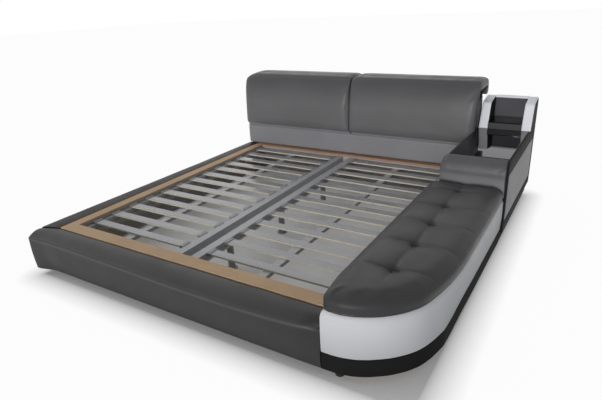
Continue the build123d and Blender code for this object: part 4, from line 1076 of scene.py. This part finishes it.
def makeHeadrestCorners(side):
    # Leather over the boards' front edge and top beside both ends, where the pad draws in.
    p, head = cornerPatch, mattress["head"]
    start, end = headrests["spans"][side]
    face, top = head + p["face"], p["top"]
    profile = resample(outline((face, p["low"]), (face, top), (head + p["back"], top)), 24, (1,))
    last = min(end - p["gap"], headrests["boardRight"] + p["pastBoard"])
    for letter, x0, x1 in (("A", start + p["gap"], start + p["reach"]), ("B", end - p["reach"], last)):
        points = carried(profile, np.linspace(x0, x1, 12))
        strip(f"headrestCorner{side.capitalize()}{letter}", points, p["thick"], "headboardLeather",
              f"headrest_{side}")


endPatch = {
    "low": 0.489, "rear": 0.2690, "outer": (0.026, 0.8162), "inner": (0.0495, 0.7988),
    "gap": 0.004, "pastBoard": 0.006, "swell": 0.0022, "thick": 0.0003,
}


def makeHeadrestEnds(side):
    # Leather over both ends of the headrest's boards: an L-shaped patch between the pad and the lining, which
    # swells out by half a sine wave across its width.
    p, head = endPatch, mattress["head"]
    start, end = headrests["spans"][side]
    end = min(end, headrests["boardRight"] + p["pastBoard"])
    outer, inner = (
        resample(outline((head + face, p["low"]), (head + face, top), (head + p["rear"], top)), 40, (1,))
        for face, top in (p["outer"], p["inner"]))
    rows = np.linspace(0, 1, 4)
    patch = blended(outer, inner, rows)
    shells = []
    for x, outwards in ((start + p["gap"], -1), (end - p["gap"], 1)):
        front = placed(patch, x + outwards * p["swell"] * np.sin(rows * pi))
        back = placed(patch, 0 * rows + x - outwards * p["thick"])
        shells.append(np.concatenate([front, back[::-1]]))
    name = f"headrestEnds{side.capitalize()}"
    return joinedPiece(name, shells, "darkLeather", f"headrest_{side}", rows=True)


lowerBand = {
    "left": -1.1576, "right": 0.7958, "face": 0.9004, "rear": 0.9244, "low": 0.2696, "top": 0.4346,
    "roll": ((0.018, 0.0), (0.0055, -0.0052), (0.0008, -0.018)), "end": 0.004, "sway": 0.0012,
}


def makeLowerBand():
    # Upholstered band under the headrests: upright face, top rolled back.
    b = lowerBand
    face, rear, low, top = b["face"], b["rear"], b["low"], b["top"]
    roll = arcAt(face, top, b["roll"], 7)
    profile = resample(outline(
        (rear, low), (rear, top), roll,
        arcThrough(roll[-1], (face - 0.0004, (low + top) / 2), (face + 0.0006, low + 0.006), 11),
        (face + 0.003, low), (rear, low)), 44)
    inner = np.linspace(b["left"] + b["end"], b["right"] - b["end"], 120)
    rings = carried(profile, np.concatenate([[b["left"]], inner, [b["right"]]]))
    x, y, z = np.moveaxis(rings, -1, 0)
    y += b["sway"] * (y < face + 0.004) * lump(x, z, 31)
    return tubePiece("lowerBand", rings, "bandLeatherPaintedLight", ["headboard_lower_band"], None)


backCover = {
    "left": -1.1538, "right": 0.7998, "back": 1.0938, "low": 0.0335, "top": 0.7345, "thick": 0.0032,
    "step": 0.4400, "stepGap": 0.0006, "frontLow": 0.9275, "frontHigh": 0.9705,
    "round": 0.012, "roundMiddle": 0.0035,
    "seamXs": (-0.829, -0.177, 0.475), "seamWidth": 0.005, "seamDepth": 0.0016,
    "swell": 0.0008, "sway": 0.0007,
}


def makeBackCover():
    # Leather round the back of the headboard: a path in plan carried upwards, with the step at the sides.
    b = backCover
    x0, x1, back, turn, half = b["left"], b["right"], b["back"], b["round"], b["roundMiddle"]
    lowPath, highPath = (resample(outline(
        (x0, front), arcThrough((x0, back - turn), (x0 + half, back - half), (x0 + turn, back), 6),
        arcThrough((x1 - turn, back), (x1 - half, back - half), (x1, back - turn), 6), (x1, front)), 190)
        for front in (b["frontLow"], b["frontHigh"]))
    heights = np.concatenate([np.linspace(b["low"], b["step"] - b["stepGap"], 34),
                              np.linspace(b["step"] + b["stepGap"], b["top"], 26)])
    points = placed([lowPath if z < b["step"] else highPath for z in heights], heights, 2)
    x, y, z = np.moveaxis(points, -1, 0)
    seams = sum(bell(x - seamX, b["seamWidth"]) for seamX in b["seamXs"])
    y -= (y > back - 0.001) * (b["seamDepth"] * seams + b["swell"] + b["sway"] * lump(x, z, 51))
    return strip("headboardBack", points, b["thick"], "darkLeather", "bed", ["headboard_back_cover"])


cheek = {
    "x": (0.8002, 0.8114), "low": 0.0338, "step": 0.4394, "top": 0.7340, "back": 1.0932,
    "frontHigh": 0.9710, "frontLow": 0.9285, "bevel": 0.0035, "backBevel": 0.004, "round": 0.003,
}


def makeCheek():
    # Padded panel on the headboard's right end, beside the console's arm: its side outline carried along X.
    k = cheek
    low, step, top, back, bevel = k["low"], k["step"], k["top"], k["back"], k["bevel"]
    high, under, backBevel = k["frontHigh"], k["frontLow"], k["backBevel"]
    loop = outline(
        (back, low), (back, top - backBevel), (back - backBevel, top),
        (high + bevel, top), (high, top - bevel), (high, step),
        (under + bevel, step), (under, step - bevel), (under, low), (back, low))
    loop = resample(loop, 121, (1, 3, 5, 6, 8))[:-1]
    return slab("headboardCheek", loop, *k["x"], k["round"], "darkLeather", between=4)


topRoll = {
    "x": (-1.1500, 0.8112), "middle": 1.0765, "half": 0.0155,
    "base": 0.7356, "axis": 0.7430, "height": 0.0140, "round": 0.004,
}


def makeTopRoll():
    # Soft roll along the back of the headboard's top, on which the headrests' lips come to rest.
    r = topRoll
    turns = np.linspace(0, pi, 15)
    arch = np.stack([r["middle"] + r["half"] * np.cos(turns), r["axis"] + r["height"] * np.sin(turns)], -1)
    foot = (r["middle"] + r["half"], r["base"])
    loop = resample(outline(foot, arch, (r["middle"] - r["half"], r["base"]), foot), 41)[:-1]
    return slab("headboardRoll", loop, *r["x"], r["round"], "darkLeather", between=90)


patches = {
    # each patch's reach along X, and its path in Y and Z
    "headboardTop": ((-1.1500, 0.8000), ((0.9704, 0.730), (0.9704, 0.7357), (1.064, 0.7357))),
    "splitPatch": ((-0.190, -0.110), ((0.9240, 0.4349), (0.9240, 0.4404), (0.968, 0.4406))),
}


def makeHeadboardTop():
    # Leather over the headboard's top and over the step's front edge where the two headrests part.
    for name, (reach, path) in patches.items():
        profile = resample(np.array(path), 16, (1,))
        strip(name, carried(profile, np.linspace(*reach, 40)), 0.0006, "darkLeather", "bed")


for side, seed in (("left", 21), ("right", 22)):
    makeHeadrest(side, seed)
    makeHeadrestCorners(side)
    makeHeadrestFlap(side)
    makeHeadrestLining(side)
    makeHeadrestEnds(side)
makeLowerBand()
makeBackCover()
makeCheek()
makeTopRoll()
makeHeadboardTop()
print("stage: headboard made")


frontPad = {
    "left": 0.762, "right": 1.1477, "low": 0.3103, "gap": 0.0004, "board": 0.3105,
    "face": 0.2656, "back": 0.3224, "rim": 0.5396, "underRim": 0.5322, "rollFrom": 0.436,
    "toe": ((0.010, 0.0), (0.0024, 0.004), (0.0006, 0.016)),
    # how the left end falls away in a round shoulder
    "shoulderRun": 0.046, "shoulderPower": 2.2, "shoulderDrop": 0.078, "shoulderIn": 0.016,
    "pressure": 3.0, "stuffed": 0.003, "pinRise": 0.004, "sway": 0.0010,
}


def makeFrontPad():
    # Padded front of the console: an upright face that rolls back to the glass, carried along X;
    # its left end falls away in a round shoulder.
    p = frontPad
    board, back, low = p["board"], p["back"], p["low"]
    shares = np.concatenate([np.linspace(0, 1, 12)[:-1] ** 1.6 * 0.14, np.linspace(0.14, 1, 34)])
    across = p["left"] + p["gap"] + (p["right"] - p["left"] - 2 * p["gap"]) * shares
    loops = []
    for fall in rounded(across - p["left"], p["shoulderRun"], p["shoulderPower"]):
        drop, face = p["shoulderDrop"] * fall, p["face"] + p["shoulderIn"] * fall
        top = p["rim"] - drop
        roll = min(p["rollFrom"], top - 0.030)
        tip = back - (back - board - 0.001) * min(1.0, fall * 2)
        toe = arcAt(face, low, p["toe"], 5)
        loop = outline(
            (board, low), toe, arcThrough(toe[-1], (face - 0.0004, (low + roll) / 2), (face, roll), 7),
            arcThrough((face, roll), (face + (tip - face) * 0.22, roll + (top - roll) * 0.76), (tip, top),
                       14), (tip, max(top - 0.0075, p["underRim"] - drop)),
            (board, max(top - 0.009, p["underRim"] - 0.0002 - drop)), (board, low))
        loops.append(resample(loop, 65)[:-1])
    made = tubePiece("consoleFrontPad", placed(loops, across), "padLeatherPaintedLightAndShade", ["console_front_pad"], None)
    x, y, z = corners(made).T
    inflate(made, p["pressure"], p["stuffed"], pinned=(y > board - 0.001) | (z < low + p["pinRise"]))
    subdivideNow(made)
    co = corners(made)
    x, y, z = co.T
    y += p["sway"] * (y < board - 0.0005) * lump(x, z, 61, 0.8)
    setCorners(made, co)
    return made


innerPad = {
    "y": (0.3133, 0.7776), "low": 0.2424, "wall": 0.8114, "out": 0.7604, "bend": 0.450, "top": 0.5295,
    "rim": 0.009, "rollMiddle": (0.0105, 0.504), "bellyZ": 0.34, "round": 0.006,
}


def makeInnerPad():
    # Padded inner side, over the mattress space: upright, then rolled over towards the glass.
    p = innerPad
    low, wall, out = p["low"], p["wall"], p["out"]
    rim, bend, (rollIn, rollZ) = (wall - p["rim"], p["top"]), (out, p["bend"]), p["rollMiddle"]
    loop = outline(
        (wall, low), (wall, p["top"]), arcThrough(rim, (out + rollIn, rollZ), bend, 12),
        arcThrough(bend, (out - 0.0003, p["bellyZ"]), (out + 0.0004, low + 0.010), 8),
        (out + 0.004, low), (wall, low))
    loop = resample(loop, 53)[:-1]
    made = slab("consoleInnerPad", loop, *p["y"], p["round"], "darkLeather", ["console_inner_pad"],
                axis=1, between=30)
    return made


def rectangleLoop(ys, zs, inset, count, radius):
    # A rectangle in Y and Z with round corners, drawn in by inset: each corner's arc, then count points of
    # the side after it.
    turns = np.linspace(0, pi / 2, 7)
    (y0, y1), (z0, z1) = ((low + inset + radius, high - inset - radius) for low, high in (ys, zs))
    arcs = [np.stack([y + radius * np.cos(base + turns), z + radius * np.sin(base + turns)], -1)
            for y, z, base in ((y1, z0, -pi / 2), (y1, z1, 0.0), (y0, z1, pi / 2), (y0, z0, pi))]
    share = np.linspace(0, 1, count + 1, endpoint=False)[1:, None]
    every = [[arc, arc[-1] + (after[0] - arc[-1]) * share] for arc, after in zip(arcs, arcs[1:] + arcs[:1])]
    return np.concatenate(sum(every, []))


sideBorder = {
    "y": (0.2652, 1.2548), "z": (0.1005, 0.5398), "round": 0.006,
    "holeY": (0.2930, 1.2270), "holeZ": (0.1580, 0.4480), "holeRound": 0.004,
    # each ring: its place along X, its share of the way in to the hole, and how far the border's edge or the
    # hole's edge draws in
    "rings": ((1.1485, 0.0, 0.0), (1.1540, 0.0, 0.0), (1.1580, 0.0, 0.0006), (1.1594, 0.0, 0.0022),
              (1.1600, 0.0, 0.0050), (1.1601, 0.4, 0.0), (1.1600, 1.0, -0.0030), (1.1594, 1.0, -0.0012),
              (1.1578, 1.0, -0.0002), (1.1543, 1.0, 0.0), (1.1485, 1.0, 0.0)),
}


def makeSideBorder():
    # Leather border round the white panel: rings from its outer edge in to the panel's.
    b = sideBorder
    places, shares, insets = zip(*b["rings"])
    loops = []
    for share, inset in zip(shares, insets):
        outer = rectangleLoop(b["y"], b["z"], max(inset, 0), 16, b["round"])
        hole = rectangleLoop(b["holeY"], b["holeZ"], min(inset, 0), 16, b["holeRound"])
        loops.append(outer + (hole - outer) * share)
    rings = placed(loops, places)
    made = joinedPiece("consoleSideBorder", [rings], "borderLeatherPaintedShade", "bed", ["console_side_border"],
                       rows=True, columns=True)
    return crisp(made, 40.0)


sidePanel = {
    "y": (0.2942, 1.2258), "z": (0.1592, 0.4468), "round": 0.005,
    "fold": 0.14, "foldHalf": 0.0008, "foldRound": 0.0004,
    "back": 1.1544, "rim": 1.1570, "swell": 0.0052, "swellShare": 0.9,
    "seamZ": 0.302, "seamWidth": 0.0035, "seamDepth": 0.0016,
}


def makeSidePanel():
    # White padded panel: a rectangle whose rings close in while it swells out, with one sewn line along it.
    p = sidePanel
    middleY, middleZ = (p["y"][0] + p["fold"], p["y"][1] - p["fold"]), sum(p["z"]) / 2
    outer = rectangleLoop(p["y"], p["z"], 0, 28, p["round"])
    middle = rectangleLoop(middleY, (middleZ - p["foldHalf"], middleZ + p["foldHalf"]), 0, 28, p["foldRound"])
    shares = np.concatenate([np.linspace(0, 0.08, 6), np.linspace(0.08, 1, 14)[1:]])
    swell = p["rim"] + p["swell"] * (1 - (1 - np.minimum(1.0, shares / p["swellShare"])) ** 3)
    loops = np.concatenate([outer[None], blended(outer, middle, shares)])
    rings = placed(loops, np.concatenate([[p["back"]], swell]))
    x, y, z = np.moveaxis(rings, -1, 0)
    x -= p["seamDepth"] * bell(z - p["seamZ"], p["seamWidth"]) * (x > p["rim"] + 0.0002)
    first, last = (np.broadcast_to(ring.mean(0), ring.shape)[None] for ring in (rings[0], rings[-1]))
    made = joinedPiece("consoleSidePanel", [np.concatenate([first, rings, last])], "panelWhitePaintedShade", "bed",
                       ["console_side_panel"], columns=True)
    return crisp(made, 50.0)


arm = {
    "spans": {"left": (0.817, 0.877), "right": (1.100, 1.160)},
    "front": 1.0133, "foot": 0.5404, "lean": 0.062, "bendZ": 0.712, "crest": (1.225, 0.738),
    "bendFrom": 0.90, "bendTo": 0.12, "bendIn": (0.0008, -0.0030),
    "sideInset": 0.0036, "sideGap": 0.0003, "sideRound": 0.0025,
    "tailRound": (1.2440, 0.7250), "tail": (1.2546, 0.702),
    "strapThick": 0.0034, "strapGap": 0.0001, "strapDrop": 0.0026, "strapRound": 0.055, "strapRows": 46,
}


def armLine(inset):
    # The front and top of an arm: up the front, over the bend, back to the crest.
    a = arm
    foot, crest = np.array((a["front"] + inset, a["foot"])), np.array((a["crest"][0], a["crest"][1] - inset))
    bend = np.array((a["front"] + a["lean"] + inset, a["bendZ"] - inset))
    up, on = foot + (bend - foot) * a["bendFrom"], bend + (crest - bend) * a["bendTo"]
    return outline(foot, up, arcThrough(up, bend + a["bendIn"], on, 7), crest)


def makeArm(side):
    # Dark sides of an arm: its side outline carried along X.
    a = arm
    x0, x1 = a["spans"][side]
    top, tail = armLine(a["sideInset"]), a["tail"]
    loop = outline(top, arcThrough(top[-1], a["tailRound"], tail, 5), tail, (tail[0], a["foot"]), top[:1])
    made = slab(f"consoleArm{side.capitalize()}", resample(loop, 61)[:-1], x0 + a["sideGap"],
                x1 - a["sideGap"], a["sideRound"], "borderLeatherPaintedShade", [f"console_arm_{side}"], between=4)
    return made


def strapRings(side):
    # The white strap over an arm's front and top: an upper line whose edges round down, and a lower line.
    a = arm
    x0, x1 = a["spans"][side]
    over, under = (resample(armLine(inset), a["strapRows"])[:, None] for inset in (0.0, a["strapThick"]))
    across = np.linspace(0, 1, 13)[:, None]
    drop = a["strapDrop"] * (1 - rise(np.minimum(across, 1 - across), 0, a["strapRound"])) ** 2
    x = x0 + a["strapGap"] + (x1 - x0 - 2 * a["strapGap"]) * across + 0 * over[..., :1]
    upper = np.concatenate([x, over + (under - over) * (drop / a["strapThick"])], -1)
    lower = np.concatenate([x, under + 0 * x], -1)
    return np.concatenate([upper, lower[:, ::-1]], 1)


def makeArms():
    # Both arms, then both straps as one piece.
    tubes = []
    for side in arm["spans"]:
        makeArm(side)
        tubes.append(capped(strapRings(side)))
    straps = joinedPiece("armStraps", tubes, "whiteLeather", "bed", ["arm_trims"], columns=True)
    return crisp(straps, 50.0)


shelf = {"x": (0.8774, 1.0996), "y": (1.0137, 1.2296), "z": (0.5802, 0.5880), "nose": 0.0036, "round": 0.0006}


def makeShelf():
    # Black lacquered shelf with a round front edge.
    (y0, y1), (z0, z1), nose = shelf["y"], shelf["z"], shelf["nose"]
    front = arcThrough((y0 + nose, z0), (y0, (z0 + z1) / 2), (y0 + nose, z1), 9)
    loop = resample(outline((y1, z0), front, (y1, z1), (y1, z0)), 49)[:-1]
    return slab("consoleShelf", loop, *shelf["x"], shelf["round"], "blackLacquer", ["console_shelf"],
                between=4)


backTrim = {
    "x": (0.8776, 1.0994), "y": (1.2142, 1.2478), "z": (0.7232, 0.7378), "round": 0.0008, "bevel": 0.004,
    # points as (Y, Z) from the front's lower corner and its upper one
    "toe": ((0.002, 0.0), (0.0, 0.002), (0.0, 0.005)),
    "nose": ((0.003, -0.0025), (0.009, 0.0)), "crown": ((0.009, 0.0), (0.019, 0.0008)),
}


def makeBackTrim():
    # White trim across the back of the console, between the arms: a slab with a soft front and crown.
    t = backTrim
    (y0, y1), (z0, z1) = t["y"], t["z"]
    toe, nose, crown = (np.array(t[key]) + (y0, z) for key, z in (("toe", z0), ("nose", z1), ("crown", z1)))
    loop = outline((y1, z0), arcThrough(*toe, 4), arcThrough(toe[-1], *nose, 6),
                   arcThrough(*crown, (y1 - t["bevel"], z1), 5), (y1, z1 - t["bevel"]), (y1, z0))
    made = slab("consoleBackTrim", resample(loop, 41)[:-1], *t["x"], t["round"], "whiteLeather",
                ["console_back_trim"], between=8)
    return made


sidePlinth = {
    "x": (1.1364, 1.1420), "y": (0.2655, 1.2476), "z": (0.0332, 0.0998),
    "bevel": 0.0015, "belly": (0.0004, 0.066), "round": 0.001,
}


def makeConsolePlinth():
    # Black plinth under the console's right side: an upright face that swells a little, carried along Y.
    p = sidePlinth
    (x0, x1), (z0, z1), bevel = p["x"], p["z"], p["bevel"]
    face = arcThrough((x1, z0 + bevel), (x1 + p["belly"][0], p["belly"][1]), (x1, z1 - bevel), 7)
    loop = outline((x0, z0), (x1 - bevel, z0), face, (x1 - bevel, z1), (x0, z1), (x0, z0))
    return slab("consolePlinth", resample(loop, 41)[:-1], *p["y"], p["round"], "plinthLeather",
                ["console_plinth"], axis=1, between=40)


makeFrontPad()
makeInnerPad()
makeSideBorder()
makeSidePanel()
makeArms()
makeShelf()
makeBackTrim()
makeConsolePlinth()
print("stage: console made")


light = {
    # each sun: azimuth in degrees from -Y towards -X, height, strength, angular width
    "frontSun": (-3.0, 6.0, 1.95, 18.0),
    "leftSun": (100.0, 52.0, 0.50, 50.0),
    "rearSun": (147.0, 30.0, 0.27, 40.0),
    "worldStrength": 0.25,
    "worldColour": (0.97, 0.98, 1.0, 1.0),
    "floorColour": (0.86, 0.86, 0.86, 1.0),
    "white": (1.0, 1.0, 1.0, 1.0),
    "shadowReach": 0.16,      # how far the bed's soft shadow shows on the white floor
    "underGlow": 0.10,        # share of the white backdrop that the floor keeps under the bed
}


floor = {"half": 40.0, "bedX": 1.13, "bedY": 1.22, "fadePower": 0.6, "whiteShare": 0.96}
seenRays = ("Is Camera Ray", "Is Glossy Ray", "Is Transmission Ray")


def makeFloor():
    # White where the camera sees open floor; the bed's own soft shadow shows close to it.
    half = floor["half"]
    mesh = bpy.data.meshes.new("floor")
    square = [(-half, -half, 0), (half, -half, 0), (half, half, 0), (-half, half, 0)]
    mesh.from_pydata(square, [], [(0, 1, 2, 3)])
    made = bpy.data.objects.new("floor", mesh)
    bpy.context.scene.collection.objects.link(made)
    shade = Shade("paleFloor")
    outX = (shade.split(0).maths("ABSOLUTE") - floor["bedX"]).maths("MAXIMUM", 0.0)
    outY = (shade.split(1).maths("ABSOLUTE") - floor["bedY"]).maths("MAXIMUM", 0.0)
    away = (outX * outX + outY * outY).maths("SQRT")
    clear = away.ramp(0.0, light["shadowReach"], 0.0, 1.0).maths("POWER", floor["fadePower"])
    clear = clear * (1 - light["underGlow"]) + light["underGlow"]
    matte = shade.node("ShaderNodeBsdfDiffuse", None, {"Color": light["floorColour"]})
    glow = shade.node("ShaderNodeEmission", None, {"Color": light["white"], "Strength": 1.0})
    factor = shade.rays(*seenRays) * clear * floor["whiteShare"]
    both = shade.node("ShaderNodeMixShader", None, {0: factor, 1: matte, 2: glow})
    shade.node("ShaderNodeOutputMaterial", None, {0: both}, None)
    mesh.materials.append(shade.owner)


def makeLamps():
    # A low sun from the front, a high one from the left, and one from behind for the sheen on the tops.
    for name in ("frontSun", "leftSun", "rearSun"):
        azimuth, height, strength, spread = light[name]
        azimuth, height = radians(azimuth), radians(height)
        data = bpy.data.lights.new(name, "SUN")
        data.energy, data.angle = strength, radians(spread)
        lamp = bpy.data.objects.new(name, data)
        bpy.context.scene.collection.objects.link(lamp)
        source = Vector((-sin(azimuth) * cos(height), -cos(azimuth) * cos(height), sin(height)))
        lamp.rotation_mode = "QUATERNION"
        lamp.rotation_quaternion = (-source).to_track_quat("-Z", "Y")
        lamp.location = source * 8
    bpy.context.scene.world = bpy.data.worlds.new("studio")
    shade = Shade("studio", bpy.context.scene.world)
    plain, white = (
        shade.node("ShaderNodeBackground", None, {"Color": colour, "Strength": strength})
        for colour, strength in ((light["worldColour"], light["worldStrength"]), (light["white"], 1.0)))
    both = shade.node("ShaderNodeMixShader", None, {0: shade.rays(*seenRays), 1: plain, 2: white})
    shade.node("ShaderNodeOutputWorld", None, {0: both}, None)


makeFloor()
makeLamps()
print("stage: scene ready")
